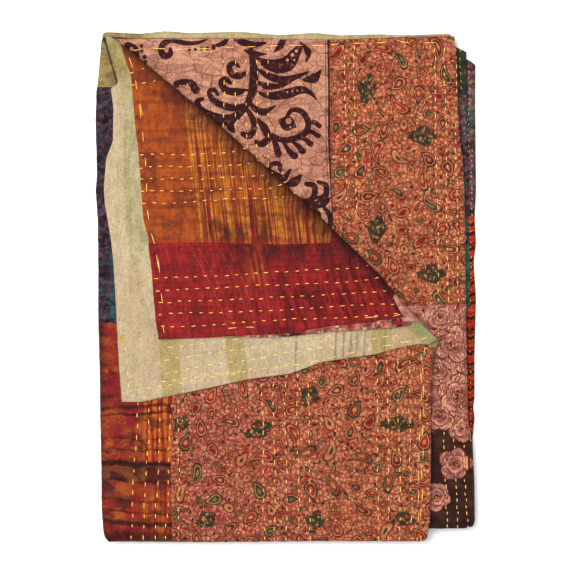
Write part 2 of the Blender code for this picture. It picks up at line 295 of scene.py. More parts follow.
CORNER_RIDGES = [
    Ridge(335, 334, 333, 366, 2.4, 1.5), Ridge(343, 334, 342, 362, 2.2, 1.2),
    Ridge(350, 334, 350, 361, 2.2, 1.4), Ridge(357, 332, 357, 359, 2.2, 1.2),
    Ridge(365, 332, 366, 358, 2.4, 1.3), Ridge(300, 345, 296, 375, 3.4, 0.8),
    Ridge(131, 96, 128, 330, 3.0, 0.7), Ridge(118, 100, 112, 300, 3.5, 0.5),
    Ridge(150, 340, 300, 341, 4.0, 0.5), Ridge(140, 395, 240, 372, 4.5, 0.6),
    Ridge(205, 120, 215, 240, 4.0, 0.5), Ridge(250, 190, 255, 330, 4.0, 0.5),
    Ridge(160, 247, 330, 243, 4.0, 0.6), Ridge(318, 262, 330, 326, 5.0, 0.6),
]
SECOND_RIDGES = [
    Ridge(329, 42, 331, 190, 1.6, 0.6), Ridge(384, 60, 388, 250, 5.0, 0.5),
    Ridge(430, 50, 432, 300, 5.0, 0.5), Ridge(440, 310, 442, 520, 5.0, 0.5),
    Ridge(400, 306, 470, 303, 2.4, 0.6), Ridge(120, 40, 450, 38, 3.0, 0.5),
]


def ridges(rows, x, y):
    """How far the ridges lift the cloth at a place seen from above."""
    lift = np.zeros(np.broadcast(x, y).shape)
    for row in rows:
        (ax, ay), (bx, by) = squares([(row.x0, row.y0), (row.x1, row.y1)])
        length = np.hypot(bx - ax, by - ay)
        ux, uy = (bx - ax) / length, (by - ay) / length
        along = (x - ax) * ux + (y - ay) * uy
        aside = (x - ax) * -uy + (y - ay) * ux
        past = np.maximum(np.abs(along - length / 2) - length / 2, 0)
        width = row.width * MM
        lift += row.rise * MM * np.exp(-((aside / width) ** 2) - (past / (3 * width)) ** 2)
    return lift


def settled(panel, flat, x, y, z):
    """Turns the top panel's corner over, then adds its sag, the ridges and the ripples."""
    along, past = from_crease(x, y)
    if panel == TOP_PANEL:
        sag = np.clip((SAG_FROM - y) / SAG_LENGTH, 0, None) ** 2
        sag = BOTTOM_SAG * sag * np.interp(x, SAG_CLEAR_OF_FOLD, (0.0, 1.0)) * flat
        past = np.where(flat, past, -1.0)
        radius = ROLL_HEIGHT - z
        turn = pi * np.clip(past / ROLL_CLOTH, 0, 1)
        bulge = np.interp(along, *zip(*[(row.along * MM, row.bulge) for row in CREASE_ROLL]))
        out = bulge * radius * np.sin(turn) ** ROLL_SQUARENESS - np.maximum(past - ROLL_CLOTH, 0)
        turned = past > 0
        x, y = (np.where(turned, new, old) for new, old in zip(by_crease(along, out), (x, y)))
        z = np.where(turned, ROLL_HEIGHT - radius * np.cos(turn), z - sag)
        over = np.clip((past - ROLL_CLOTH) / OVER_FADE, 0, 1)
        under = np.clip(-past / UNDER_FADE, 0, 1)
        z = z + over * ridges(CORNER_RIDGES, x, y) + under * ridges(FRONT_RIDGES, x, y) * flat
    if panel == TOP_PANEL - 1:
        clear = np.clip((past - HIDDEN_BY_CORNER) / UNDER_FADE, 0, 1) * flat
        z = z + clear * ridges(SECOND_RIDGES, x, y)
    lift = 0.0
    for ripple in RIPPLES:
        waves = x / (ripple.length_x * MM) + y / (ripple.length_y * MM)
        lift = lift + ripple.share * np.sin(2 * pi * waves + ripple.phase)
    return np.stack([x, y, z * (1 + lift)], -1)


def layer_sides(panel, h1_share, y):
    """x of a layer's left fold and of its right fold or edge."""
    own = PANELS[panel]
    of_h2 = read(own.right_h2, y)
    right = of_h2 + (read(own.right_h1, y) - of_h2) * h1_share - own.right_reach
    return read(own.left, y) + FOLD_REACH, right


def lay(panel, h1_share, x, y, reach):
    """Places of points of a layer, given flat; x or y past a fold goes on round it."""
    x, y = (np.asarray(a, float) for a in np.broadcast_arrays(x, y))
    own = PANELS[panel]
    left, right = layer_sides(panel, h1_share, y)
    past_left = np.maximum(left - x, 0) / FOLD_RADIUS
    past_right = np.maximum(x - right, 0) / FOLD_RADIUS
    if own.joins_right is None:
        past_right = past_right * 0
    turn = np.minimum(past_left + past_right, pi)
    left_side = past_left > 0
    inside = np.where(left_side, left, np.where(past_right > 0, right, x))
    other_left = PANELS[JOINS_LEFT[panel]]
    other = np.where(left_side, read(other_left.bottom, inside), read(own.bottom, inside))
    if own.joins_right is not None:
        on_right = read(PANELS[own.joins_right].bottom, inside)
        other = np.where(past_right > 0, on_right, other)
    share = (1 - np.cos(turn)) / 2
    start = read(own.bottom, inside) * (1 - share) + other * share + OUTER
    bent = np.clip((start - y) / OUTER, 0, pi)
    bend = pi - bent if h1_share > 0.5 else bent
    return stacked(panel, inside, np.maximum(y, start), turn, left_side, bend, reach)


def stacked(panel, x, y, turn, left_side, bend, reach):
    """The height and the rounding that the side fold and the half fold give a point."""
    up = 1 if panel % 2 else -1
    offset = -reach * np.cos(bend)
    y = y - reach * np.sin(bend)
    own = OUTER + panel * PANEL_PITCH
    side = np.where(left_side, -1.0, 1.0)
    above = np.where(left_side, up, -up)
    radius = FOLD_RADIUS - offset * side
    turned = own - above * FOLD_RADIUS + above * radius * np.cos(turn)
    z = np.where(turn > 0, turned, own + offset * up)
    x = x + side * radius * np.sin(turn)
    return settled(panel, turn <= 0, x, y, z)


FIRST_GUESS = (0.3, -0.3)
EDGE_LOOK_UPS = 4


def panel_edges(panel, h1_share, u):
    """y of the half fold and of a layer's free edge, u of the way across its panel."""
    own = PANELS[panel]
    top, bottom = FIRST_GUESS
    for _ in range(EDGE_LOOK_UPS):
        ends = []
        for y, share in ((top, h1_share), (bottom, 0.5)):
            left, right = layer_sides(panel, share, y)
            ends.append(left + (right - left) * u)
        top = float(read(own.top_h1 if h1_share > 0.5 else own.top_h2, ends[0]))
        bottom = float(read(own.bottom, ends[1]))
    return bottom, top


def backing_row(panel, u, turn, section, reach):
    """One cross-section of the backing: up layer h2 from its free edge, round, and up h1."""
    h1_share, v, bend = section.T
    edges = [panel_edges(panel, share, u) for share in (0.0, 1.0)]
    if turn:
        nexts = [panel_edges(panel + 1, share, u) for share in (0.0, 1.0)]
        share = (1 - cos(turn)) / 2
        edges = [
            tuple(a + (b - a) * share for a, b in zip(mine, theirs))
            for mine, theirs in zip(edges, nexts)
        ]
    start = edges[0][0] + OUTER
    top = np.where(h1_share > 0.5, edges[1][1], edges[0][1])
    y = start + (top - start) * v
    left, right = layer_sides(panel, h1_share, y)
    x = left + (right - left) * u
    return stacked(panel, x, y, np.full(len(v), turn), u < 0.5, bend, reach), x, y


def rim(rows, columns):
    """The points round a grid, in order."""
    index = np.arange(rows * columns).reshape(rows, columns)
    sides = index[0], index[1:, -1], index[-1, -2::-1], index[-2:0:-1, 0]
    return np.concatenate(sides).tolist()


def wall(upper, lower, flip=False):
    """Quads between two loops of points."""
    found = []
    for i in range(len(upper)):
        quad = (upper[i - 1], upper[i], lower[i], lower[i - 1])
        found.append(quad if flip else quad[::-1])
    return found


def put(name, data):
    """An object in the scene."""
    made = bpy.data.objects.new(name, data)
    bpy.context.scene.collection.objects.link(made)
    return made


def link(name, points, faces, uv=None, smooth=True):
    """A mesh object from points and faces, with its flat layout as UV map."""
    data = bpy.data.meshes.new(name)
    data.from_pydata(np.asarray(points).reshape(-1, 3).tolist(), [], faces)
    data.update()
    if uv is not None:
        layer = data.uv_layers.new(name="flat")
        index = np.empty(len(data.loops), np.int32)
        data.loops.foreach_get("vertex_index", index)
        flat = np.asarray(uv, float).reshape(-1, 2)[index]
        layer.data.foreach_set("uv", flat.ravel())
    data.polygons.foreach_set("use_smooth", [smooth] * len(data.polygons))
    return put(name, data)


def grid_faces(rows, columns, flip=False, first=0):
    """Quads of a grid of points, row by row."""
    found = []
    for i in range(rows - 1):
        for j in range(columns - 1):
            a = first + i * columns + j
            quad = (a, a + 1, a + columns + 1, a + columns)
            found.append(quad[::-1] if flip else quad)
    return found


def wear(piece, material):
    """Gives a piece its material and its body."""
    piece.data.materials.clear()
    piece.data.materials.append(material)
    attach(piece, "root")
    return piece


# Shader maths.


def linear(color, tint=AGED):
    """A dye's screen colour, 0 to 255, as the shader's linear one, changed by age."""
    value = np.asarray(color, float) / 255
    low = value / 12.92
    high = ((value + 0.055) / 1.055) ** 2.4
    return (*(np.where(value <= 0.04045, low, high) * tint).tolist(), 1.0)


def operator(operation, swapped=False):
    """An operator that adds a Math node."""
    def act(self, *others):
        values = (self, *others)
        return self.maker.maths(operation, *(values[::-1] if swapped else values))
    return act


class Signal:
    """A shader socket; operators on it add Math nodes."""

    __add__ = operator("ADD")
    __radd__ = operator("ADD", True)
    __sub__ = operator("SUBTRACT")
    __rsub__ = operator("SUBTRACT", True)
    __mul__ = operator("MULTIPLY")
    __rmul__ = operator("MULTIPLY", True)
    __abs__ = operator("ABSOLUTE")
    sine = operator("SINE")
    fraction = operator("FRACT")
    lowest = operator("MINIMUM")

    def __init__(self, maker, socket):
        self.maker = maker
        self.socket = socket

    def rise(self, low, high):
        """0 below low, 1 above high, and smooth between."""
        node = self.maker.node(
            "MapRange", {"interpolation_type": "SMOOTHSTEP"},
            {"Value": self, "From Min": low, "From Max": high},
        )
        return Signal(self.maker, node.outputs["Result"])


def set_stops(ramp, stops):
    """Steps of one colour each; a stop is (place, screen colour)."""
    ramp.interpolation = "CONSTANT"
    while len(ramp.elements) < len(stops):
        ramp.elements.new(1.0)
    for element, (place, color) in zip(ramp.elements, stops):
        element.position = place
        element.color = linear(color)


class Cloth:
    """A material for one kind of cloth, made up of nodes."""

    def __init__(self, name, tint=AGED):
        self.tint = tint
        self.material = bpy.data.materials.new(name)
        self.material.use_nodes = True
        self.tree = self.material.node_tree
        self.shader = self.tree.nodes["Principled BSDF"]
        self.flat = self.node("UVMap", {"uv_map": "flat"}, {}).outputs["UV"]
        split = self.node("SeparateXYZ", {}, {"Vector": self.flat})
        self.x = Signal(self, split.outputs["X"])
        self.y = Signal(self, split.outputs["Y"])

    def node(self, kind, settings, values):
        """Adds a shader node: its settings first, then its sockets' values or links."""
        made = self.tree.nodes.new("ShaderNode" + kind)
        for key, value in settings.items():
            if key == "stops":
                set_stops(made.color_ramp, value)
            else:
                setattr(made, key, value)
        self.fill(made, values)
        return made

    def fill(self, node, values):
        """Sets or links a node's sockets."""
        for key, value in values.items():
            if isinstance(value, Signal):
                value = value.socket
            if isinstance(value, bpy.types.NodeSocket):
                self.tree.links.new(value, node.inputs[key])
            else:
                node.inputs[key].default_value = value

    def maths(self, operation, *values):
        made = self.node("Math", {"operation": operation}, dict(enumerate(values)))
        return Signal(self, made.outputs[0])

    def mix(self, share, low, high):
        """One colour over another; each is a screen colour or a signal."""
        low, high = (linear(c, self.tint) if isinstance(c, tuple) else c for c in (low, high))
        made = self.node("Mix", {"data_type": "RGBA"}, {0: share, 6: low, 7: high})
        return Signal(self, made.outputs[2])

    def ground(self, share, low, high):
        """Gives the cloth its first colour, between two."""
        self.color = self.mix(share, low, high)

    def dye(self, share, tint):
        """Lays a colour over the cloth's own, as far as share says."""
        self.color = self.mix(share, self.color, tint)

    def shade(self, share, tint):
        """Multiplies the cloth's colour by a tint, as far as share says."""
        made = self.node(
            "Mix", {"data_type": "RGBA", "blend_type": "MULTIPLY"},
            {0: share, 6: self.color, 7: (*tint, 1.0)},
        )
        self.color = Signal(self, made.outputs[2])

    def noise(self, scale, detail=3.0, x=1.0, y=1.0, rough=0.5, seed=0.0, lean=0.0):
        """Noise from 0 to 1, scale times to the metre; its streaks lean to the right."""
        if lean:
            sides = {"X": (self.x + self.y * lean) * x, "Y": self.y * y}
            place = self.node("CombineXYZ", {}, sides)
        else:
            sides = {"Vector": self.flat, "Scale": (x, y, 1.0)}
            place = self.node("Mapping", {"vector_type": "POINT"}, sides)
        place = self.vector("ADD", place.outputs["Vector"], (seed, seed * 0.7, seed * 1.3))
        made = self.node(
            "TexNoise", {"noise_dimensions": "3D"},
            {"Vector": place, "Scale": scale, "Detail": detail, "Roughness": rough},
        )
        return Signal(self, made.outputs["Fac"])

    def vector(self, operation, *values):
        """A VectorMath node's result; a scale is the fourth of its sockets."""
        places = (0, 3) if operation == "SCALE" else (0, 1)
        made = self.node("VectorMath", {"operation": operation}, dict(zip(places, values)))
        return made.outputs["Vector"]

    def wobbled(self, scale, amount):
        """The flat layout with a little noise in it."""
        noise = self.node("TexNoise", {}, {"Vector": self.flat, "Scale": scale, "Detail": 2.0})
        off = self.vector("SUBTRACT", noise.outputs["Color"], (0.5, 0.5, 0.5))
        return self.vector("ADD", self.flat, self.vector("SCALE", off, amount))

    def cells(self, scale, feature="DISTANCE_TO_EDGE", vector=None):
        """How far a place is from the edge, or middle, of its cell."""
        made = self.node(
            "TexVoronoi", {"feature": feature, "voronoi_dimensions": "2D"},
            {"Vector": vector or self.flat, "Scale": scale},
        )
        return Signal(self, made.outputs["Distance"])

    def across(self, place):
        """Distance to the right of a place, in metres, the place given in squares."""
        return self.x - (place - float(MIDDLE[0])) * SQUARE

    def down(self, place):
        """Distance below a place, in metres, the place given in squares."""
        return (float(MIDDLE[1]) - place) * SQUARE - self.y

    def strip(self, start, end, top, lean, outer, inner=None):
        """1 between two leaning lines, with soft edges; they are at start and end at the top."""
        inner = inner or outer
        place = self.across(start) - self.down(top) * lean
        past = place - (end - start) * SQUARE
        return place.rise(-outer, inner) * (1 - past.rise(-inner, outer))

    def weave(self):
        """The height of a plain weave, from 0 to 1."""
        warp = (self.x * (2 * pi * THREADS)).sine()
        weft = (self.y * (2 * pi * THREADS)).sine()
        return warp * weft * 0.5 + 0.5

    def puckers(self, upright):
        """The crumpled surface of the cloth round its stitches, from 0 to 1."""
        x, y = (0.55, 1.0) if upright else (1.0, 0.55)
        crumple = self.noise(105.0, 4.0, x, y, 0.55, seed=5.2)
        fine = self.noise(260.0, 3.0, x, y, 0.6, seed=7.7)
        return crumple.rise(0.30, 0.70) * 0.65 + fine.rise(0.30, 0.70) * 0.35

    def surface(self, upright=True, share=0.9):
        """Puckers with the weave on them, as a height."""
        return self.puckers(upright) * share + self.weave() * (0.08 * share)

    def finish(self, roughness=0.85, height=None, depth=1.5 * MM, sheen=0.03, wear_and_painted_relief=0.6):
        """Paints shade into the hollows and highlights on a fine speckle, adds grain, links the
        colour with the roughness and the bump, and gives the material.
        """
        height = height or self.surface()
        if wear_and_painted_relief:
            # Painted shade in the hollows of the surface.
            self.shade((1 - height).rise(0.30, 0.80) * wear_and_painted_relief, (0.40, 0.30, 0.30))
            grain = self.noise(520.0, 3.0, seed=6.6).rise(0.42, 0.64)
            self.shade(grain * 0.45, (0.55, 0.46, 0.44))
            # Painted highlights on a fine speckle.
            raised = self.noise(430.0, 3.0, seed=9.9).rise(0.54, 0.70)
            self.shade(raised * wear_and_painted_relief, (1.45, 1.38, 1.28))
        bump = self.node("Bump", {}, {"Strength": 1.0, "Distance": depth, "Height": height})
        self.fill(self.shader, {
            "Base Color": self.color, "Roughness": roughness, "Metallic": 0.0,
            "Sheen Weight": sheen, "Specular IOR Level": 0.10, "Normal": bump.outputs["Normal"],
        })
        return self.material


# Materials, one for each kind of cloth and thread.


def cream_backing():
    """Cream cotton, tinted in strips where other patches lie behind it, with painted shade in its
    creases and a painted shadow along its right edge.
    """
    cloth = Cloth("cream_backing", PALE)
    soft = cloth.noise(9.0, 4.0)
    fine = cloth.noise(320.0, 3.0, 1.0, 0.3)
    cloth.ground(soft.rise(0.35, 0.7), (226, 208, 176), (240, 225, 196))
    cloth.dye(fine.rise(0.35, 0.75) * 0.3, (204, 184, 148))
    for start, end, lean in ((159, 179, 0.06), (225, 244, 0.12), (371, 392, 0.0)):
        inside = cloth.strip(start, end, 340, lean, 0.0006)
        below = cloth.down(312).rise(0.0, 0.002)
        cloth.dye(inside * below * 0.9, (206, 190, 134))
    tan = cloth.across(392).rise(0.0, 0.004) * cloth.down(300).rise(0.0, 0.002)
    cloth.dye(tan * 0.6, (214, 180, 134))
    grubby = cloth.noise(16.0, 4.0, seed=8.0).rise(0.55, 0.74)
    cloth.dye(grubby * 0.2, (200, 176, 128))
    rusty = cloth.cells(90.0, "F1", cloth.wobbled(60.0, 0.006)).rise(0.10, 0.05)
    patchy = cloth.noise(30.0, 2.0, seed=2.0).rise(0.5, 0.62)
    cloth.dye(rusty * patchy * 0.7, (138, 66, 48))
    upper = 1 - cloth.down(66).rise(-0.006, 0.024)
    tan = cloth.noise(45.0, 4.0, seed=31.0).rise(0.38, 0.62)
    west = 1 - cloth.across(136).rise(0.0, 0.020)
    strip = cloth.mix(tan, (226, 216, 172), (206, 192, 134))
    cloth.dye(upper * 0.85, strip)
    cloth.dye(upper * west * 0.9, cloth.mix(tan, (206, 194, 138), (164, 144, 88)))
    # Painted shade in the creases of the gathered margin.
    for place in (296, 335, 343, 350, 356, 364, 384):
        fold = 1 - abs(cloth.across(place) + cloth.down(350) * 0.06).rise(0.0004, 0.0022)
        cloth.dye(fold * cloth.down(322).rise(0.0, 0.006) * 0.5, (150, 128, 88))
    yellow = 1 - abs(cloth.across(122)).rise(0.002, 0.004)
    yellow = yellow * (1 - abs(cloth.down(340)).rise(0.004, 0.006))
    cloth.dye(yellow * 0.8, (230, 190, 70))
    leaf = (cloth.across(403) - cloth.down(325) * 1.087).rise(0.0, 0.001)
    leaf = leaf * cloth.down(318).rise(0.0, 0.001) * (1 - cloth.down(345).rise(0.0, 0.001))
    cloth.dye(leaf, (182, 184, 132))
    # Painted shadow along the sheet's right edge, below the turned corner.
    edge_shadow = cloth.across(427).rise(0.0, 0.001) * cloth.down(346).rise(0.0, 0.002)
    cloth.dye(edge_shadow * 0.8, (120, 84, 58))
    return cloth.finish(0.9, cloth.surface(False), wear_and_painted_relief=0.2)


def mosaic_cloth():
    """Plain patches in mixed colours, for the faces that the photo doesn't show."""
    cloth = Cloth("hidden_patches")
    cell = cloth.node(
        "TexVoronoi", {"feature": "F1", "distance": "CHEBYCHEV", "voronoi_dimensions": "2D"},
        {"Vector": cloth.flat, "Scale": 6.0, "Randomness": 0.55},
    )
    pick = cloth.node("SeparateColor", {}, {"Color": cell.outputs["Color"]})
    stops = [
        (0.0, (168, 60, 36)), (0.16, (70, 45, 52)), (0.3, (198, 124, 100)), (0.45, (60, 50, 90)),
        (0.58, (186, 96, 36)), (0.7, (58, 98, 92)), (0.82, (150, 32, 42)), (0.92, (196, 168, 120)),
    ]
    ramp = cloth.node("ValToRGB", {"stops": stops}, {"Fac": pick.outputs["Red"]})
    cloth.color = Signal(cloth, ramp.outputs["Color"])
    speck = cloth.noise(170.0, 4.0, seed=4.0).rise(0.5, 0.62)
    cloth.dye(speck * 0.4, (214, 170, 120))
    dark = cloth.noise(60.0, 4.0, seed=6.0).rise(0.52, 0.68)
    cloth.dye(dark * 0.45, (52, 30, 34))
    return cloth.finish()


def scroll_ground():
    """Dusty pink cotton with fine dark cracks in the wax."""
    cloth = Cloth("dusty_pink_cotton")
    cloth.ground(cloth.noise(12.0, 4.0).rise(0.35, 0.7), (202, 152, 138), (222, 178, 164))
    cracks = 1 - cloth.cells(78.0, vector=cloth.wobbled(26.0, 0.034)).rise(0.0, 0.055)
    long = 1 - cloth.cells(34.0, vector=cloth.wobbled(20.0, 0.05)).rise(0.0, 0.022)
    fine = 1 - cloth.cells(230.0, vector=cloth.wobbled(60.0, 0.010)).rise(0.0, 0.11)
    patchy = cloth.noise(17.0, 2.0, seed=3.0).rise(0.40, 0.60)
    cloth.dye(long * 0.85, (96, 36, 42))
    cloth.dye(cracks * (patchy * 0.65 + 0.3), (104, 34, 42))
    clusters = cloth.noise(19.0, 2.0, seed=9.0).rise(0.53, 0.62)
    cloth.dye(fine * clusters * 0.85, (112, 32, 44))
    faint = cloth.noise(40.0, 4.0, seed=1.0).rise(0.55, 0.75)
    cloth.dye(faint * 0.35, (186, 124, 112))
    return cloth.finish()


def paisley_ground():
    """Salmon cotton printed all over with a fine network."""
    cloth = Cloth("salmon_cotton")
    right = cloth.across(300).rise(-0.08, 0.08)
    low = cloth.down(330).rise(-0.02, 0.06)
    ground = cloth.mix(low * (1 - right), (208, 144, 114), (192, 128, 118))
    cloth.ground(cloth.noise(30.0, 4.0).rise(0.35, 0.68) * 0.55, ground, (190, 104, 82))
    bent = cloth.wobbled(95.0, 0.009)
    net = cloth.cells(185.0, vector=bent)
    cloth.dye((1 - net.rise(0.03, 0.18)) * 0.85, (146, 48, 42))
    spots = cloth.cells(185.0, "F1", bent)
    sandy = cloth.noise(60.0, 3.0, seed=5.0).rise(0.44, 0.60)
    cloth.dye((1 - spots.rise(0.10, 0.34)) * (sandy * 0.6 + 0.3), (238, 196, 150))
    squiggle = abs(cloth.noise(95.0, 2.0, seed=12.0) - 0.5)
    cloth.dye((1 - squiggle.rise(0.008, 0.022)) * 0.75, (132, 44, 38))
    blush = cloth.noise(70.0, 3.0, seed=7.0).rise(0.56, 0.66)
    cloth.dye(blush * 0.6, (160, 52, 42))
    murky = cloth.noise(64.0, 3.0, seed=15.0).rise(0.58, 0.68)
    cloth.dye(murky * 0.6, (104, 92, 62))
    return cloth.finish()


def paint_shade_at_crease(cloth, dark):
    """Paints shade on a silk where it turns down over the crease."""
    (x, y), (to_x, to_y) = CREASE_START.tolist(), (-ACROSS).tolist()
    away = (cloth.x - x) * to_x + (cloth.y - y) * to_y
    cloth.dye((1 - away.rise(-0.006, 0.017)) * 0.42, dark)
    cloth.dye((1 - away.rise(-0.013, 0.005)) * 0.85, dark)


def orange_silk():
    """Shot silk, striped lengthways in gold and crimson, with painted shade at the crease."""
    cloth = Cloth("orange_silk", SILK)
    lean = 0.11
    stripe = cloth.noise(430.0, 2.0, 1.0, 0.02, seed=2.0, lean=lean)
    broad = cloth.noise(60.0, 3.0, 1.0, 0.05, seed=4.0, lean=lean)
    cloth.ground(broad.rise(0.38, 0.62), (190, 94, 26), (212, 112, 32))
    right = (cloth.across(184) - cloth.down(110) * lean).rise(0.0, 0.006)
    cloth.dye(stripe.rise(0.50, 0.58) * right * 0.85, (250, 180, 70))
    cloth.dye(stripe.rise(0.49, 0.42) * right * 0.75, (140, 52, 18))
    for start, end, share in ((185, 189, 0.9), (213, 221, 0.7), (262, 276, 0.6)):
        inside = cloth.strip(start, end, 110, lean, 0.001)
        cloth.dye(inside * share * stripe.rise(0.38, 0.56), (252, 184, 72))
    for start, end in ((191, 204), (236, 247), (284, 300)):
        inside = cloth.strip(start, end, 110, lean, 0.002, 0.003)
        low = cloth.down(112).rise(-0.02, 0.05)
        cloth.dye(inside * low * stripe.rise(0.54, 0.44) * 0.9, (150, 22, 42))
    cross = cloth.noise(150.0, 3.0, 0.10, 1.0, seed=6.0)
    cloth.dye(cross.rise(0.48, 0.62) * 0.5, (136, 52, 16))
    blot = cloth.noise(34.0, 5.0, 0.6, 1.0, 0.6, seed=8.0).rise(0.52, 0.66)
    cloth.dye(blot * 0.65, (112, 40, 14))
    umber = cloth.down(226).rise(-0.012, 0.012) * cloth.across(215).rise(-0.01, 0.01)
    wear_and_painted_relief = cloth.noise(60.0, 4.0, 1.0, 0.5, seed=14.0).rise(0.40, 0.58)
    cloth.dye(umber * (1 - cloth.across(262).rise(0.0, 0.02)) * wear_and_painted_relief * 0.85, (70, 20, 10))
    low = cloth.down(238).rise(-0.004, 0.010)
    cloth.dye(low * 0.6, (190, 44, 34))
    paint_shade_at_crease(cloth, (58, 16, 6))
    rough = 0.38 + stripe * 0.2
    return cloth.finish(rough, cloth.surface(False, 0.8) + cross * 0.2, sheen=0.02)


def red_silk():
    """Crimson silk, umber in places, with painted shade in its gathers and at the crease, and a few
    pale threads.
    """
    cloth = Cloth("red_silk", SILK)
    stripe = cloth.noise(330.0, 2.0, 1.0, 0.03, seed=1.0, lean=0.2)
    cloth.ground(stripe.rise(0.42, 0.60), (172, 30, 42), (204, 50, 58))
    cross = cloth.noise(300.0, 3.0, 0.08, 1.0, seed=6.0)
    cloth.dye(cross.rise(0.46, 0.60) * 0.55, (132, 16, 30))
    for place, lean in ((205, 0.42), (213, 0.40), (232, 0.36), (240, 0.30)):
        bow = cloth.down(300) * cloth.down(300) * 1.8
        line = 1 - abs(cloth.across(place) - cloth.down(270) * lean + bow).rise(0.0002, 0.0007)
        cloth.dye(line * 0.45, (240, 120, 96))
    glow = cloth.across(250).rise(-0.012, 0.006) * (1 - cloth.across(262).rise(0.0, 0.010))
    gold = glow * (1 - cloth.down(284).rise(-0.014, 0.014)) * stripe.rise(0.44, 0.54)
    cloth.dye(gold * 0.6, (242, 130, 50))
    deep = cloth.noise(60.0, 5.0, 1.0, 0.5, 0.6, seed=5.0, lean=0.3)
    umber = cloth.across(222).rise(-0.020, 0.020) * (1 - cloth.down(264).rise(-0.018, 0.018))
    cloth.dye(umber * deep.rise(0.36, 0.56) * 0.85, (84, 16, 14))
    # Painted shade in the hollows of the gathers, which the bump lowers too.
    gathers = cloth.noise(120.0, 3.0, 1.0, 0.18, seed=19.0, lean=0.45).rise(0.52, 0.60)
    east = cloth.across(262).rise(0.0, 0.030) * cloth.down(262).rise(-0.010, 0.016)
    cloth.dye(gathers * east * 0.42, (100, 12, 20))
    blot = cloth.noise(34.0, 5.0, 0.9, 0.7, 0.6, seed=8.0).rise(0.52, 0.68)
    cloth.dye(blot * 0.5, (108, 14, 24))
    paint_shade_at_crease(cloth, (50, 8, 10))
    rough = 0.38 + stripe * 0.2
    height = cloth.surface(False, 0.8) + cross * 0.2 - gathers * east * 0.5
    return cloth.finish(rough, height, sheen=0.02)


# Creases across the rust silk, painted dark as shade: place in squares, width in mm; the wide ones
# are whole.
Dark = namedtuple("Dark", "down width share")
RUST_CREASES = [
    Dark(463, 5.4, 0.9), Dark(481, 2.0, 0.6), Dark(523, 4.6, 0.75), Dark(407, 3.0, 0.65),
    Dark(414, 2.0, 0.6), Dark(500, 2.2, 0.40), Dark(438, 2.0, 0.35), Dark(395, 1.8, 0.5),
    Dark(449, 1.6, 0.35), Dark(512, 1.8, 0.45),
]
WHOLE_CREASE = 4.0


def rust_silk():
    """Old silk in orange, crimson and brown, crossed by creases with painted shade in them, and
    with painted shade along its turned edges.
    """
    cloth = Cloth("rust_silk", SILK)
    band = cloth.noise(46.0, 4.0, 0.35, 1.0, seed=1.0)
    stripe = cloth.noise(240.0, 2.0, 1.0, 0.05, seed=4.0)
    cloth.ground(band.rise(0.36, 0.64), (152, 40, 36), (182, 66, 38))
    ochre = cloth.noise(62.0, 5.0, 0.8, 1.0, 0.66, seed=7.0).rise(0.47, 0.60)
    cloth.dye(ochre * 0.62, (212, 128, 60))
    crimson = cloth.noise(40.0, 5.0, 1.0, 0.8, 0.62, seed=11.0).rise(0.50, 0.60)
    cloth.dye(crimson * 0.8, (166, 26, 52))
    east = cloth.across(143).rise(-0.010, 0.010)
    upper = 1 - cloth.down(462).rise(-0.006, 0.004)
    lower = cloth.down(484).rise(0.0, 0.006)
    bright = east * (upper + lower * 0.5)
    cloth.dye(bright * stripe.rise(0.42, 0.56), (244, 142, 44))
    cloth.dye(bright * stripe.rise(0.45, 0.36) * 0.85, (176, 46, 24))
    dark = cloth.noise(58.0, 6.0, 0.7, 1.0, 0.70, seed=13.0).rise(0.50, 0.62)
    cloth.dye(dark * 0.72, (64, 18, 16))
    murky = cloth.down(466).rise(0.0, 0.003) * (1 - cloth.down(480).rise(0.0, 0.004))
    stains = cloth.noise(85.0, 3.0, seed=23.0)
    cloth.dye(murky * 0.8, cloth.mix(stains.rise(0.45, 0.56), (56, 22, 24), (134, 92, 56)))
    green = cloth.noise(52.0, 3.0, seed=27.0).rise(0.60, 0.68) * cloth.down(484).rise(0.0, 0.01)
    cloth.dye(green * 0.6, (112, 96, 64))
    ragged = (cloth.noise(13.0, 5.0, 1.0, 0.5, 0.60, seed=21.0) - 0.5) * 0.026
    broken = cloth.noise(38.0, 3.0, 1.0, 0.6, seed=33.0).rise(0.36, 0.56)
    deep = 0.0
    # Painted shade along each crease, which the bump lowers too.
    for crease in RUST_CREASES:
        line = abs(cloth.down(crease.down) + ragged)
        kept = crease.share * (0.30 + 0.70 * broken if crease.width < WHOLE_CREASE else 1.0)
        crease = (1 - line.rise(0.0001, crease.width * MM)) * kept
        cloth.dye(crease, (40, 10, 10))
        deep = crease + deep
    # Painted shade along the left and bottom edges, where the silk turns down round its folds.
    rim = (1 - cloth.across(101).rise(0.0, 0.008)) + cloth.down(528).rise(0.0, 0.010)
    cloth.dye(rim.lowest(1.0) * 0.72, (46, 12, 10))
    rough = 0.42 + band * 0.2
    height = cloth.surface(True, 0.8) + band * 0.6 - deep.lowest(1.0) * 1.1
    return cloth.finish(rough, height, sheen=0.02)


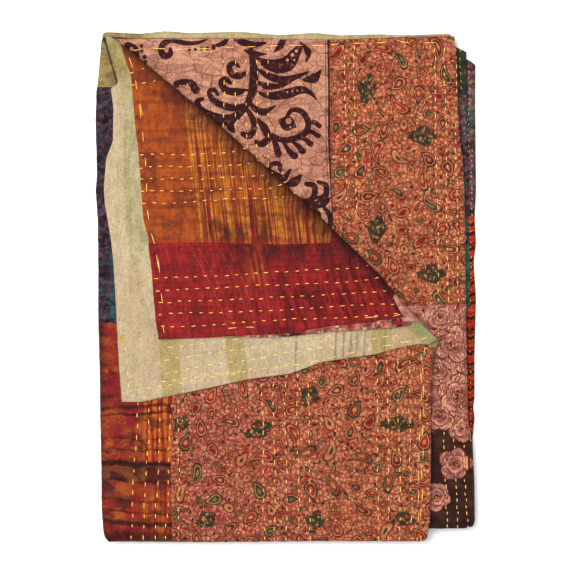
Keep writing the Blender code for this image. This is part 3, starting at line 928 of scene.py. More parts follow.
def sage_band():
    """Pale sage cotton beside the silks, creamy lower down."""
    cloth = Cloth("sage_cotton", PALE)
    cloth.ground(cloth.noise(24.0, 4.0).rise(0.35, 0.7), (206, 202, 160), (218, 214, 176))
    cloth.dye(cloth.noise(60.0, 3.0, seed=4.0).rise(0.55, 0.7) * 0.5, (192, 176, 128))
    lower = cloth.down(236).rise(0.0, 0.05)
    cloth.dye(lower * 0.85, (234, 216, 182))
    upper = 1 - cloth.down(72).rise(-0.006, 0.020)
    tan = cloth.noise(45.0, 4.0, seed=31.0).rise(0.38, 0.62)
    cloth.dye(upper * 0.85, cloth.mix(tan, (206, 194, 138), (158, 138, 82)))
    uneven = (cloth.noise(26.0, 2.0, seed=41.0) - 0.5) * 0.004
    fold = cloth.across(130) - cloth.down(150) * 0.03 - uneven
    inner = fold.rise(-0.0004, 0.0004) * cloth.down(96).rise(0.0, 0.01)
    cloth.dye((1 - inner) * 0.35, (196, 188, 126))
    rusty = cloth.cells(120.0, "F1", cloth.wobbled(60.0, 0.006)).rise(0.10, 0.05)
    cloth.dye(rusty * cloth.noise(30.0, 2.0, seed=2.0).rise(0.5, 0.6) * 0.8, (160, 58, 44))
    return cloth.finish(0.9, cloth.surface(False), wear_and_painted_relief=0.32)


def beige_piece():
    """Beige cotton with a painted shadow line where two of its folds meet."""
    cloth = Cloth("beige_cotton")
    cloth.ground(cloth.noise(34.0, 4.0).rise(0.38, 0.62), (160, 150, 108), (134, 142, 108))
    # Painted shadow in the gap under the folded edge beside it.
    gap_shadow = abs(cloth.across(103.4) - cloth.down(35) * 0.28)
    cloth.dye((1 - gap_shadow.rise(0.0006, 0.0013)) * 0.9, (52, 38, 26))
    side = (cloth.across(104.4) - cloth.down(35) * 0.28).rise(0.0, 0.001)
    cloth.dye(side * 0.45, (168, 140, 92))
    return cloth.finish()


def blotched(name, ground, marks, scale=70.0, upright=True, corner=None):
    """A print that reads as blotches of a few colours over a ground."""
    cloth = Cloth(name)
    low, high = ground
    cloth.ground(cloth.noise(scale * 0.4, 4.0).rise(0.35, 0.68), low, high)
    for i, (mark, share, size) in enumerate(marks):
        spots = cloth.noise(scale * size, 3.0, seed=3.0 + 4.1 * i).rise(0.56, 0.62)
        cloth.dye(spots * share, mark)
    if corner:
        left, top, tint = corner
        share = cloth.across(left).rise(-0.002, 0.003) * cloth.down(top).rise(-0.006, 0.006)
        broken = cloth.noise(scale * 1.6, 3.0, seed=21.0).rise(0.40, 0.52)
        cloth.dye(share * broken * 0.85, tint)
    return cloth.finish(0.85, cloth.surface(upright))


def zigzag_cloth():
    """Orange-red cloth crossed by bands of black chevrons."""
    cloth = Cloth("zigzag_cloth")
    cloth.ground(cloth.noise(30.0, 3.0).rise(0.35, 0.7), (196, 52, 28), (222, 78, 38))
    repeat = 35 * SQUARE
    peaks = abs((cloth.x * (1 / (9 * MM))).fraction() - 0.5) * (5 * MM)
    along = ((cloth.y + peaks) * (1 / repeat)).fraction()
    for low, high in ((0.06, 0.17), (0.24, 0.27), (0.50, 0.60), (0.66, 0.69), (0.74, 0.84)):
        band = along.rise(low - 0.01, low + 0.01) * (1 - along.rise(high - 0.01, high + 0.01))
        cloth.dye(band * 0.9, (38, 20, 22))
    pale = along.rise(0.60, 0.62) * (1 - along.rise(0.64, 0.66))
    cloth.dye(pale * 0.6, (206, 128, 104))
    return cloth.finish()


def teal_cloth():
    """Teal cloth with a blue round and fine hatching."""
    cloth = Cloth("teal_cloth")
    cloth.ground(cloth.noise(60.0, 3.0).rise(0.4, 0.65), (46, 122, 118), (78, 160, 150))
    hatch = ((cloth.x + cloth.y) * (2 * pi * 330)).sine().rise(0.1, 0.6)
    cloth.dye(hatch * 0.5, (28, 74, 84))
    round_x = cloth.across(464)
    round_y = cloth.down(238)
    radius = cloth.maths("SQRT", round_x * round_x + round_y * round_y)
    cloth.dye(1 - radius.rise(0.0085, 0.0095), (36, 60, 130))
    cloth.dye(1 - radius.rise(0.004, 0.005), (120, 190, 190))
    return cloth.finish()


def plum_ground():
    """Plum cotton, pink in its upper part, under the roses."""
    cloth = Cloth("plum_cotton")
    upper = 1 - (cloth.down(425) + cloth.noise(40.0, 2.0) * 0.03).rise(0.0, 0.03)
    cloth.ground(cloth.noise(40.0, 4.0).rise(0.35, 0.7), (54, 32, 32), (76, 48, 46))
    faded = cloth.noise(55.0, 4.0, seed=3.0).rise(0.4, 0.62)
    pink = cloth.mix(faded, (176, 112, 108), (212, 164, 158))
    cloth.dye(upper, pink)
    return cloth.finish()


def printed_ink():
    """Print colours, read from each motif's own colour attribute."""
    cloth = Cloth("printed_ink")
    ink = cloth.node("Attribute", {"attribute_name": "ink", "attribute_type": "GEOMETRY"}, {})
    cloth.color = Signal(cloth, ink.outputs["Color"])
    wear_and_painted_relief = cloth.noise(190.0, 3.0, seed=2.0).rise(0.55, 0.75)
    cloth.dye(wear_and_painted_relief * 0.45, (200, 132, 108))
    return cloth.finish()


def thread(name, low, high):
    """Cotton thread, a little uneven in colour, with a twist in its bump."""
    cloth = Cloth(name, FRESH)
    place = cloth.node("TexCoord", {}, {}).outputs["Object"]
    noise = cloth.node("TexNoise", {}, {"Vector": place, "Scale": 260.0, "Detail": 2.0})
    share = Signal(cloth, noise.outputs["Fac"]).rise(0.35, 0.65)
    twist = cloth.node("TexWave", {"wave_type": "BANDS", "bands_direction": "DIAGONAL"},
                       {"Vector": place, "Scale": 700.0})
    cloth.ground(share, low, high)
    return cloth.finish(0.6, Signal(cloth, twist.outputs["Fac"]), 0.1 * MM, wear_and_painted_relief=0.0)


# The patches: where each lies, in squares, and which face it is sewn to.

Patch = namedtuple("Patch", "name panel h1 face lift left right top bottom step")

# The crease's upper end and slope, in squares, and what goes past it or stops short of it.
CREASE_TOP = MIDDLE + CREASE_START * (1, -1) / SQUARE
CREASE_SLOPE = -CREASE[0] / CREASE[1]
CREASE_BEYOND = 25.0
SHORT_OF_CREASE = 8.0


def crease_line(rows):
    """Places (down, across) along the crease, the cloth going on round the roll."""
    x, y = CREASE_TOP
    return [(down, x + (down - y) * CREASE_SLOPE + CREASE_BEYOND) for down in rows]


SILK_LEFT = [
    (30.3, 131.6), (43, 120), (62, 126), (75, 131), (94, 133), (109, 134), (132, 136),
    (145, 138), (185, 141), (220, 143.6), (239, 149), (249, 149), (271, 152), (299, 154),
    (322, 156), (338, 159),
]
SILK_BOTTOM = [
    (140, 340), (179, 338.6), (218, 337.2), (233, 336), (256, 335), (289, 333), (328, 326.5),
    (354, 324), (392, 319), (403.5, 317), (430, 316),
]
H2_LEFT = [
    (24, 119.5), (38, 107.3), (45, 110.2), (65, 116.3), (84, 121.1), (110, 125), (150, 124.6),
    (220, 126.1), (250, 131), (280, 138.1), (312, 149.1), (338, 158),
]
H1_LEFT = [
    (34, 104.6), (45, 108), (65, 114), (84, 119.4), (88, 111.4), (109, 114), (142, 113.4),
    (158, 107), (186, 104.4), (205, 105.4), (239, 111.4), (262, 114), (302, 116.4), (364, 119.4),
    (401, 122.4),
]
H1_BOTTOM = [
    (122, 402), (141, 402), (189.5, 392), (218, 386), (249.5, 379), (289, 374), (322, 362),
    (377, 354), (398, 348), (418, 344), (428, 345), (457, 326.5), (475, 315),
]
SILK_END = [(282, 399), (299.6, 393.5), (318, 403.5), (324, 405)]
PATCHES = [
    Patch("beige_corner", 3, 1, "outer", 0.0, "fold", [(30, 140)],
          [(80, 39.6), (104, 40), (112, 44), (140, 70)], [(80, 89.5)], 2.4),
    Patch("purple_print", 3, 1, "outer", 0.08, "fold", [(90, 150)],
          [(80, 87.5)], [(80, 322), (150, 324)], 4.0),
    Patch("rust_silk", 3, 1, "outer", 0.0, "fold", [(320, 173), (545, 173)],
          [(80, 321), (173, 321)], "fold", 2.1),
    Patch("lower_paisley", 3, 1, "outer", 0.08,
          [(320, 172), (400, 172.5), (470, 171), (548, 172.5)],
          [(330, 432.2), (375, 431.2), (400, 430.2), (450, 430.7), (520, 429.8), (529, 428),
           (548, 426)],
          [(172, 332), (400, 332), (431, 341)], "fold", 2.1),
    Patch("scroll_print", 2, 0, "outer", 0.0, [(30, 98)], [(30, 330), (190, 332), (270, 337)],
          [(98, 38.5), (115, 38.8), (130, 39), (237, 38.3), (330, 39.5)],
          [(98, 58), (145, 92), (218, 152), (289, 218), (337, 266)], 2.1),
    Patch("upper_paisley", 2, 0, "outer", 0.08, [(30, 329), (190, 331), (270, 336)],
          "fold",
          [(329, 39.6), (336, 39.5), (377, 38.3), (410, 37), (440, 36.2), (455, 36), (490, 36)],
          [(329, 262), (361, 292), (398, 307), (440, 305), (490, 303)], 2.1),
    Patch("rose_print", 2, 0, "outer", 0.0, [(300, 388)], "fold",
          [(380, 304), (440, 303), (490, 301)], "fold", 2.1),
    Patch("dark_green", 0, 0, "outer", 0.0, [(40, 440)], [(40, 466.6), (60, 467), (90, 467.3)],
          [(440, 45.6), (456, 45.8), (466.6, 51)], [(440, 88)], 4.0),
    Patch("violet_print", 0, 0, "outer", 0.06, [(80, 440)],
          [(80, 467.2), (130, 467.6), (216, 468.3)], [(440, 87)], [(440, 216)], 4.0),
    Patch("teal_cloth", 0, 0, "outer", 0.0, [(214, 440)],
          [(214, 468.2), (262, 470.2), (311, 469.6)], [(440, 215)], [(440, 311)], 4.0),
    Patch("zigzag_upper", 0, 0, "outer", 0.06, [(309, 440)],
          [(309, 469.6), (410, 470), (530, 468.4)], [(440, 310)], "fold", 4.0),
    Patch("violet_facing", 0, 1, "inner", 0.0, [(50, 455)],
          [(50, 475.2), (66, 476.2), (100, 475.9), (190, 476.6), (216, 475.4)],
          [(455, 57.8), (467, 57.9), (473, 61), (475.8, 64.2)], [(455, 216)], 4.0),
    Patch("zigzag_facing", 0, 1, "inner", 0.06, [(214, 455)],
          [(214, 475.4), (243, 476.6), (262, 474.3), (299, 476.6), (348, 475.3), (399, 475.3),
           (410, 473.7), (418, 475.2), (441, 473.1), (482, 475.0), (515, 475.6), (520, 475.0)],
          [(455, 215)], [(455, 527)], 4.0),
    Patch("sage_band", 3, 0, "corner", 0.0, H2_LEFT, [(d, a + 2) for d, a in SILK_LEFT],
          [(100, 24), (140, 24)], [(100, 338), (170, 338)], 2.1),
    Patch("orange_silk", 3, 0, "corner", 0.10, SILK_LEFT, crease_line([20, 60, 150, 250]),
          [(120, 30.3), (140, 30.3), (160, 31)],
          [(130, 246), (200, 244), (280, 246), (370, 243)], 2.0),
    Patch("red_silk", 3, 0, "corner", 0.16, SILK_LEFT, crease_line([240, 282]) + SILK_END[1:],
          [(130, 245), (200, 243), (280, 245), (380, 242)], SILK_BOTTOM, 2.0),
    Patch("pink_sliver", 3, 0, "corner", 0.04, [(310, 233), (340, 233)], [(300, 410), (325, 410)],
          [(233, 330), (330, 322), (410, 312)],
          [(233, 336.7), (256, 337.4), (289, 336.4), (328, 331.8), (354, 330.4), (370, 329.4),
           (392, 328.0), (410, 325.0)], 2.6),
    Patch("pink_strip", 3, 0, "corner", 0.10, [(d, a - 2) for d, a in SILK_END],
          crease_line([270, 330]), [(380, 284), (402, 284), (430, 292), (450, 312)],
          [(380, 320), (403, 321.7), (425, 322), (440, 322)], 2.1),
    Patch("cream_margin", 3, 1, "corner_inner", 0.0, H1_LEFT, crease_line([20, 200, 345]),
          [(95, 29), (140, 30)], H1_BOTTOM, 1.9),
]


def span(rows):
    """A boundary's table (from, to) in squares, for np.interp."""
    rows = np.array(sorted(rows), float)
    return rows[:, 0], rows[:, 1]


def edge_line(patch, side):
    """One edge of a patch in squares; a fold edge goes on round the sheet's own fold."""
    rows = getattr(patch, side)
    if rows != "fold":
        return span(rows)
    own = PANELS[patch.panel]
    at = np.arange(20.0, 560.0, 5.0)
    if side == "bottom":
        y = read(own.bottom, (at - MIDDLE[0]) * SQUARE) + OUTER * (1 - HALF_WRAP)
        return at, MIDDLE[1] - y / SQUARE
    y = (MIDDLE[1] - at) * SQUARE
    if side == "left":
        x = read(own.left, y) + FOLD_REACH - SIDE_WRAP * FOLD_RADIUS
    else:
        x = read(own.right_h1, y) - own.right_reach + SIDE_WRAP * FOLD_RADIUS
    return at, MIDDLE[0] + x / SQUARE


def steps_along(length, step, start_zone, end_zone):
    """Places from 0 to 1 along a patch, closer together in the zones at its ends."""
    places = np.linspace(0, 1, max(4, int(length / step)) + 1)
    if start_zone:
        share = start_zone / length
        places = np.concatenate([np.linspace(0, share, 11), places[places > share * 1.06]])
    if end_zone:
        share = 1 - end_zone / length
        places = np.concatenate([places[places < share - 0.005], np.linspace(share, 1, 13)])
    return places


SEAM_LOOK_UPS = 14
FOLD_ZONE = 10.0 * MM
ROLL_ZONE = 30.0 * MM


def patch_places(patch):
    """Flat places of a patch's grid, in squares, from its four edges."""
    sides = {side: edge_line(patch, side) for side in ("left", "right", "top", "bottom")}
    left, right, top, bottom = sides.values()
    width = np.ptp(np.concatenate([left[1], right[1]])) * SQUARE
    height = np.ptp(np.concatenate([top[1], bottom[1]])) * SQUARE
    step = patch.step * MM * 1.0
    end = FOLD_ZONE * (patch.right == "fold")
    if patch.face.startswith("corner") and patch.name != "pink_sliver":
        end = min(ROLL_ZONE, width / 3)
    across_steps = steps_along(width, step, FOLD_ZONE * (patch.left == "fold"), end)
    down_steps = steps_along(height, step, 0.0, FOLD_ZONE * (patch.bottom == "fold"))
    s, t = np.meshgrid(across_steps, down_steps)
    down = np.full(s.shape, (top[1].mean() + bottom[1].mean()) / 2)
    for _ in range(SEAM_LOOK_UPS):
        a, b = np.interp(down, *left), np.interp(down, *right)
        across = a + (b - a) * s
        c, d = np.interp(across, *top), np.interp(across, *bottom)
        down = c + (d - c) * t
    return across, down


Wave = namedtuple("Wave", "length angle phase share")
CRUMPLES = [
    Wave(15.0, 14.0, 0.3, 0.26), Wave(10.5, 76.0, 1.1, 0.22), Wave(8.1, 141.0, 2.0, 0.18),
    Wave(21.0, 103.0, 0.7, 0.20), Wave(7.0, 36.0, 4.0, 0.14),
]


def crumpled(across, down):
    """An uneven surface from 0 to 1, over squares."""
    total = 0.5
    for wave in CRUMPLES:
        c, s = cos(radians(wave.angle)), sin(radians(wave.angle))
        along = (across * c + down * s) / wave.length
        aside = (down * c - across * s) / (2.7 * wave.length)
        bent = along + 0.3 * np.sin(2 * pi * aside)
        total = total + wave.share / 2 * np.sin(2 * pi * bent + wave.phase)
    return total


def puffed(face, across, down):
    """How far the cloth stands up between the rows of stitches, in mm."""
    drawn = np.zeros(across.shape)
    for stitching in STITCHINGS:
        if stitching.face != face:
            continue
        for row in stitching.rows:
            length = np.hypot(row.x1 - row.x0, row.y1 - row.y0)
            ux, uy = (row.x1 - row.x0) / length, (row.y1 - row.y0) / length
            along = np.clip((across - row.x0) * ux + (down - row.y0) * uy, 0, length)
            away = np.hypot(across - row.x0 - along * ux, down - row.y0 - along * uy)
            drawn = np.maximum(drawn, np.exp(-((away / HOLLOW_WIDTH) ** 2)))
    return PUFF * (1 - drawn) * (0.25 + 0.75 * crumpled(across, down))


def on_face(panel, h1, face, across, down, lift, puff=True):
    """Points on a face of the sheet for flat places in squares, lifted by some mm."""
    flat = squares(np.stack([across, down], -1))
    x, y = flat[..., 0], flat[..., 1]
    raised = lift * MM
    if puff:
        raised = raised + puffed((panel, h1, face), across, down) * MM
    if face.endswith("inner"):
        reach = INNER + INNER_BED - PATCH_SKIN - raised
    else:
        reach = OUTER - PATCH_SKIN + raised
    if face.startswith("corner"):
        in_roll = np.minimum(-from_crease(x, y)[1], 0)
        x, y = turned_over(x, y)
        flat = flat + in_roll[..., None] * -ACROSS * (ROLL_STRETCH - 1)
    return lay(panel, float(h1), x, y, reach), flat


def sew_patch(patch, material):
    """One patch as a thin skin whose rim turns down to the backing."""
    across, down = patch_places(patch)
    rows, columns = across.shape
    face = (patch.panel, patch.h1, patch.face)
    points, flat = on_face(*face, across, down, patch.lift)
    bed = INNER_BED if patch.face.endswith("inner") else PATCH_BED
    deep, _ = on_face(*face, across, down, -bed / MM, False)
    top = points.reshape(-1, 3)
    facing_up = (patch.panel % 2 == 1) == (patch.h1 == 1)
    flip = facing_up or patch.face != "outer"
    loop = rim(rows, columns)
    low = deep.reshape(-1, 3)[loop]
    below = range(len(top), len(top) + len(loop))
    faces = grid_faces(rows, columns, flip) + wall(loop, below, flip)
    uv = np.concatenate([flat.reshape(-1, 2), flat.reshape(-1, 2)[loop]])
    piece = link(patch.name, np.concatenate([top, low]), faces, uv)
    return wear(piece, material)


# Printed motifs: ribbons of ink laid on a patch, drawn in squares.


# In squares: between the rails of a ribbon, from a seam to the ink, and the least ribbon.
RAIL_SPACING = 1.4
SEAM_MARGIN = 0.7
LEAST_RIBBON = 0.5

# In mm: how high the ink lies on its patch, and each colour on the last.
INK_LIFT = 0.12
INK_STEP = 0.04


class Ink:
    """Collects ribbons of ink for one patch."""

    def __init__(self, patch):
        self.face = (patch.panel, patch.h1, patch.face)
        self.lift = patch.lift + INK_LIFT
        self.edges = [edge_line(patch, side) for side in ("left", "right", "top", "bottom")]
        self.points = []
        self.faces = []
        self.flat = []
        self.colors = []
        self.count = 0

    def kept_in(self, rails):
        """Places moved inside the patch, so that a motif is cut off at a seam."""
        left, right, top, bottom = self.edges
        across, down = rails[..., 0], rails[..., 1]
        down = np.clip(down, np.interp(across, *top) + SEAM_MARGIN,
                       np.interp(across, *bottom) - SEAM_MARGIN)
        across = np.clip(across, np.interp(down, *left) + SEAM_MARGIN,
                         np.interp(down, *right) - SEAM_MARGIN)
        return across, down

    def ribbon(self, middle, half_widths, color, level=0):
        """A band along a line of places, so wide at each."""
        middle = np.asarray(middle, float)
        half_widths = np.asarray(half_widths, float)[:, None]
        ahead = np.gradient(middle, axis=0)
        ahead /= np.maximum(np.linalg.norm(ahead, axis=1, keepdims=True), 1e-6)
        aside = np.stack([-ahead[:, 1], ahead[:, 0]], 1)
        count = 3 + 2 * min(3, int(half_widths.max() / RAIL_SPACING))
        shares = np.linspace(-1, 1, count)[None, :, None]
        rails = middle[:, None] + shares * (aside * half_widths)[:, None]
        across, down = self.kept_in(rails)
        if min(np.ptp(across), np.ptp(down)) < LEAST_RIBBON:
            return
        points, flat = on_face(*self.face, across, down, self.lift + INK_STEP * level)
        self.points.append(points.reshape(-1, 3))
        self.flat.append(flat.reshape(-1, 2))
        self.faces += grid_faces(len(middle), count, True, self.count)
        self.colors += [linear(color)] * (count * len(middle))
        self.count += count * len(middle)

    def stroke(self, places, widths, color, level=0, steps=5):
        """A smooth brush stroke through a few places, with a width at each."""
        line = smooth_line(places, steps)
        at = np.linspace(0, len(widths) - 1, len(line))
        self.ribbon(line, np.interp(at, range(len(widths)), widths) / 2, color, level)

    def shape(self, x, y, length, width, angle, color, level=0, bow=0.0, profile="leaf"):
        """A leaf, oval or drop centred on a place, bowed to one side."""
        t = np.linspace(0, 1, 10 if length < 15 else 15)
        if profile == "oval":
            t = (1 - np.cos(pi * t)) / 2
        half = {"leaf": np.sin(pi * t), "oval": 2 * np.sqrt(t * (1 - t)),
                "drop": 2.3 * np.sqrt(t) * (1 - t)}[profile]
        turn = radians(angle) + bow * (t - 0.4)
        run = np.stack([np.cos(turn), -np.sin(turn)], 1) * length * np.gradient(t)[:, None]
        line = np.cumsum(run, 0) - run / 2
        line += np.array([x, y]) - line[len(t) // 2 - 1]
        self.ribbon(line, np.maximum(half * width / 2, 0.06), color, level)

    def dot(self, x, y, radius, color, level=0):
        self.shape(x, y, 2 * radius, 2 * radius, 0, color, level, 0.0, "oval")

    def piece(self, name, material):
        made = link(name, np.concatenate(self.points), self.faces, np.concatenate(self.flat))
        layer = made.data.color_attributes.new("ink", "FLOAT_COLOR", "POINT")
        layer.data.foreach_set("color", np.array(self.colors).ravel())
        mesh = bmesh.new()
        mesh.from_mesh(made.data)
        bmesh.ops.dissolve_degenerate(mesh, dist=0.02 * MM, edges=mesh.edges)
        mesh.to_mesh(made.data)
        mesh.free()
        return wear(made, material)


def smooth_line(places, steps):
    """A Catmull-Rom line through places."""
    p = np.asarray(places, float)
    p = np.vstack([2 * p[0] - p[1], p, 2 * p[-1] - p[-2]])
    found = []
    for i in range(1, len(p) - 2):
        for k in range(steps):
            t = k / steps
            a, b, c, d = p[i - 1], p[i], p[i + 1], p[i + 2]
            found.append(0.5 * (2 * b + (c - a) * t + (2 * a - 5 * b + 4 * c - d) * t * t
                                + (3 * b - a - 3 * c + d) * t ** 3))
    found.append(p[-2])
    return np.array(found)


# The scroll print: brush strokes as (places, widths).
PLUM = (60, 27, 36)
SCROLLS = [
    ([(249, 42), (252, 58), (254, 74), (252, 92), (246, 106), (238, 118)], (2, 5, 8, 7, 5, 3)),
    ([(232, 37), (240, 41), (252, 45), (265, 43)], (1, 6, 6, 2)),
    ([(244, 50), (254, 54), (266, 54)], (1, 6, 1)),
    ([(246, 72), (240, 76), (232, 74), (229, 67), (234, 63), (239, 67)], (2, 6, 6, 5, 4, 2)),
    ([(247, 90), (237, 92), (226, 90), (221, 83), (225, 79), (230, 83)], (2, 7, 6, 5, 5, 3)),
    ([(246, 104), (236, 108), (224, 106), (213, 100), (209, 92), (214, 90), (218, 95)],
     (2, 6, 6, 5, 4, 4, 2)),
    ([(240, 112), (228, 118), (214, 116), (202, 110), (197, 102), (202, 99)], (3, 6, 6, 5, 5, 3)),
    ([(238, 114), (230, 122), (219, 124)], (4, 7, 1)),
    ([(252, 56), (266, 62), (280, 62), (290, 56), (300, 50)], (1, 5, 6, 4, 1)),
    ([(262, 64), (276, 68), (288, 64), (294, 55), (300, 47)], (3, 9, 12, 10, 5)),
    ([(256, 68), (268, 76), (284, 80), (298, 76), (308, 72)], (1, 6, 7, 4, 1)),
    ([(254, 80), (266, 86), (280, 86), (291, 82)], (1, 6, 4, 1)),
    ([(256, 92), (270, 96), (286, 94), (300, 90), (309, 92), (316, 99)], (1, 6, 9, 7, 4, 1)),
    ([(249, 100), (254, 108), (264, 112), (275, 106)], (1, 5, 6, 1)),
    ([(246, 108), (252, 118), (254, 128), (249, 136), (242, 134)], (3, 5, 5, 6, 4)),
    ([(258, 120), (264, 128), (268, 138), (262, 144), (256, 142)], (3, 7, 6, 6, 4)),
    ([(300, 42), (308, 52), (306, 62)], (1, 6, 1)),
    ([(284, 38), (280, 46), (274, 52)], (5, 6, 1)),
    ([(304, 80), (314, 78), (321, 70)], (3, 9, 1)),
    ([(160, 52), (163, 44), (172, 40), (184, 43), (196, 43), (208, 39)], (5, 5, 5, 4, 3, 1)),
    ([(160, 50), (164, 56), (170, 54), (170, 49)], (5, 6, 5, 3)),
    ([(212, 46), (222, 44), (228, 38)], (1, 5, 3)),
    ([(176, 84), (184, 82), (192, 84), (195, 90)], (6, 5, 6, 7)),
    ([(286, 118), (292, 110), (302, 112), (308, 122), (306, 132), (296, 138), (282, 140),
      (272, 134)], (3, 4, 5, 5, 5, 5, 5, 2)),
    ([(306, 126), (313, 122), (319, 126)], (2, 4, 4)),
    ([(304, 132), (312, 132), (318, 136)], (2, 4, 4)),
    ([(298, 137), (306, 140), (310, 144)], (2, 4, 5)),
    ([(290, 140), (298, 146), (302, 151)], (2, 4, 6)),
    ([(282, 140), (288, 150), (294, 156)], (2, 4, 6)),
    ([(272, 136), (276, 146), (278, 154)], (4, 5, 6)),
    ([(268, 170), (272, 164), (279, 164), (280, 170)], (3, 4, 4, 3)),
    ([(270, 170), (278, 176), (284, 178), (290, 170)], (2, 5, 6, 2)),
    ([(284, 186), (294, 182), (300, 176)], (2, 9, 3)),
    ([(306, 184), (314, 186), (314, 196), (308, 202), (300, 200)], (4, 5, 5, 6, 3)),
    ([(318, 182), (326, 186), (325, 196), (317, 198)], (3, 5, 5, 3)),
    ([(300, 202), (312, 206), (324, 202), (330, 198)], (2, 6, 8, 1)),
    ([(308, 206), (318, 214), (316, 224), (322, 228)], (3, 5, 5, 3)),
    ([(324, 208), (330, 216), (330, 226)], (3, 5, 4)),
    ([(127, 46), (134, 50), (138, 60)], (7, 8, 3)),
]
SCROLL_LEAVES = [(286, 123, 20, 15, -22), (218, 121, 14, 8, -70), (230, 126, 16, 8, -60)]
SCROLL_DOTS = [
    (189, 50, 1.4), (195, 49.5, 1.6), (201, 49, 1.8), (207, 48.5, 2), (213, 48, 2.2),
    (141, 51, 2.2), (144, 57, 2.2), (145, 62, 2.2), (141, 46, 1.8),
]
SCROLL_HOLES = [
    (287, 60, 1.6), (292, 55, 1.8), (296, 51, 1.6), (294, 60, 1.2), (287, 92, 1.0), (292, 91, 1.0),
    (297, 90.5, 1.0), (302, 90.5, 0.9), (288, 121, 3.0), (290, 127, 0.9), (294, 129, 0.9),
    (180, 86, 1.2), (187, 85, 1.2), (131, 49, 2.0), (308, 208, 1.2), (214, 95, 0.9),
]
PINK = (214, 162, 147)

# Leaf clusters of the paisley prints, in squares: place, length, width and angle.
UPPER_CLUSTERS = [
    (367, 89, 33, 22, 80), (422, 136, 32, 24, 0), (377, 230, 32, 22, 80), (431, 274, 32, 23, 5),
]
LOWER_CLUSTERS = [
    (258, 430, 32, 20, 25), (309, 397, 24, 22, 60), (397, 424, 38, 17, 0), (315, 522, 26, 20, 75),
    (181, 424, 20, 15, 60), (206, 520, 24, 18, 30), (405, 519, 22, 15, 160),
]
RED = (156, 46, 42)
MAROON = (112, 44, 38)
OLIVE = (78, 66, 48)
PINE = (52, 64, 50)
MINT = (124, 124, 88)
SAND = (196, 142, 100)
ROSE = (206, 132, 108)
DROPS = [
    (OLIVE, ROSE, RED, MAROON), (MAROON, ROSE, RED, SAND), (PINE, SAND, OLIVE, MINT),
    (RED, ROSE, OLIVE, MINT), (MAROON, SAND, MAROON, ROSE), (PINE, ROSE, RED, SAND),
    (OLIVE, ROSE, MAROON, SAND), (MAROON, ROSE, SAND, OLIVE), (PINE, MINT, RED, SAND),
]


def layered(ink, x, y, length, width, angle, colors, bow, profile):
    """One motif inside another, each smaller than the last."""
    for level, (share, color) in enumerate(zip((1.0, 0.80, 0.64, 0.30), colors)):
        ink.shape(x, y, length * share, width * share, angle, color, level, bow * share, profile)


def draw_cluster(ink, x, y, length, width, angle, random):
    """A pointed clump of leaves with berries in it."""
    ahead = np.array([cos(radians(angle)), -sin(radians(angle))])
    aside = np.array([-ahead[1], ahead[0]])
    for k in range(9):
        t = (k - 4) / 4.6
        span_here = width * (1 - abs(t)) * 0.62 + 3
        for side in (-1, 1):
            root = np.array([x, y]) + ahead * t * length * 0.45 + aside * side * span_here * 0.28
            ink.shape(*root, span_here * 0.9, 4.6, angle + side * -62 + random.uniform(-12, 12),
                      (PINE, OLIVE)[(k + side) % 2], 0, 0.4)
    ink.shape(x, y, length * 0.8, width * 0.42, angle, PINE, 1)
    for k in range(26):
        spot = np.array([x, y]) + ahead * random.uniform(-0.36, 0.36) * length
        spot = spot + aside * random.uniform(-0.26, 0.26) * width
        ink.dot(*spot, random.uniform(0.7, 1.5), (RED, MINT, ROSE, SAND, MAROON)[k % 5], 2 + k % 2)


def print_paisley(patch, name, clusters, seed, material):
    """Leaf clusters, drops, ovals and small marks scattered clear of one another."""
    ink = Ink(patch)
    random = np.random.default_rng(seed)
    taken = np.array([(x, y, 0.42 * max(a, b)) for x, y, a, b, _ in clusters])
    for cluster in clusters:
        draw_cluster(ink, *cluster, random)
    across, down = patch_places(patch)
    low = np.array([across.min(), down.min()])
    high = np.array([across.max(), down.max()])
    for kind, radius, tries in (("hook", 12.5, 60), ("drop", 10.7, 1500), ("oval", 7.2, 1500),
                                ("sprig", 5.0, 1500), ("mark", 2.5, 2600)):
        for place in random.uniform(low, high, (tries, 2)):
            clear = np.hypot(*(taken[:, :2] - place).T) - taken[:, 2] - radius
            if clear.min() < 0:
                continue
            taken = np.vstack([taken, [*place, radius * 0.82]])
            angle = random.choice([20, 65, 110, 160, 215, 250, 300]) + random.uniform(-14, 14)
            colors = DROPS[random.integers(len(DROPS))]
            if kind == "hook":
                size = random.uniform(27.0, 32.0)
                layered(ink, *place, size, size * 0.36, angle, colors,
                        random.choice([-2.2, 2.2]), "drop")
            elif kind == "drop":
                size = random.uniform(16.0, 22.0)
                layered(ink, *place, size, size * random.uniform(0.6, 0.74), angle, colors,
                        random.uniform(-1.1, 1.1), "drop")
            elif kind == "oval":
                size = random.uniform(11.0, 14.0)
                layered(ink, *place, size, size * random.uniform(0.6, 0.75), angle, colors,
                        random.uniform(-0.5, 0.5), random.choice(["oval", "drop", "leaf"]))
            elif kind == "sprig":
                size = random.uniform(9.0, 14.0)
                ink.shape(*place, size, 3.6, angle, colors[0], 0, random.choice([-1.6, 1.6]))
                ink.shape(*place, size * 0.7, 1.6, angle, colors[1], 1, 1.6)
            else:
                color = (RED, PINE, OLIVE, RED, MAROON)[random.integers(5)]
                ink.shape(*place, random.uniform(3.0, 5.5), random.uniform(2.2, 3.2), angle,
                          color, 0, 0.6, random.choice(["oval", "leaf"]))
    return ink.piece(name, material)


# Roses: place, size and turn of each, in squares.
ROSES = [
    (452, 344, 31, 0), (438, 372, 24, 40), (458, 394, 33, 80), (440, 416, 27, 20),
    (462, 428, 24, 60), (455, 464, 27, 10), (436, 497, 24, 50),
    (468, 318, 22, 30), (440, 318, 20, 70), (416, 316, 14, 5), (470, 366, 18, 15),
]
PETAL_TINTS = [(216, 172, 166), (178, 98, 92), (140, 40, 46)]
PETAL_EDGE = (134, 36, 42)


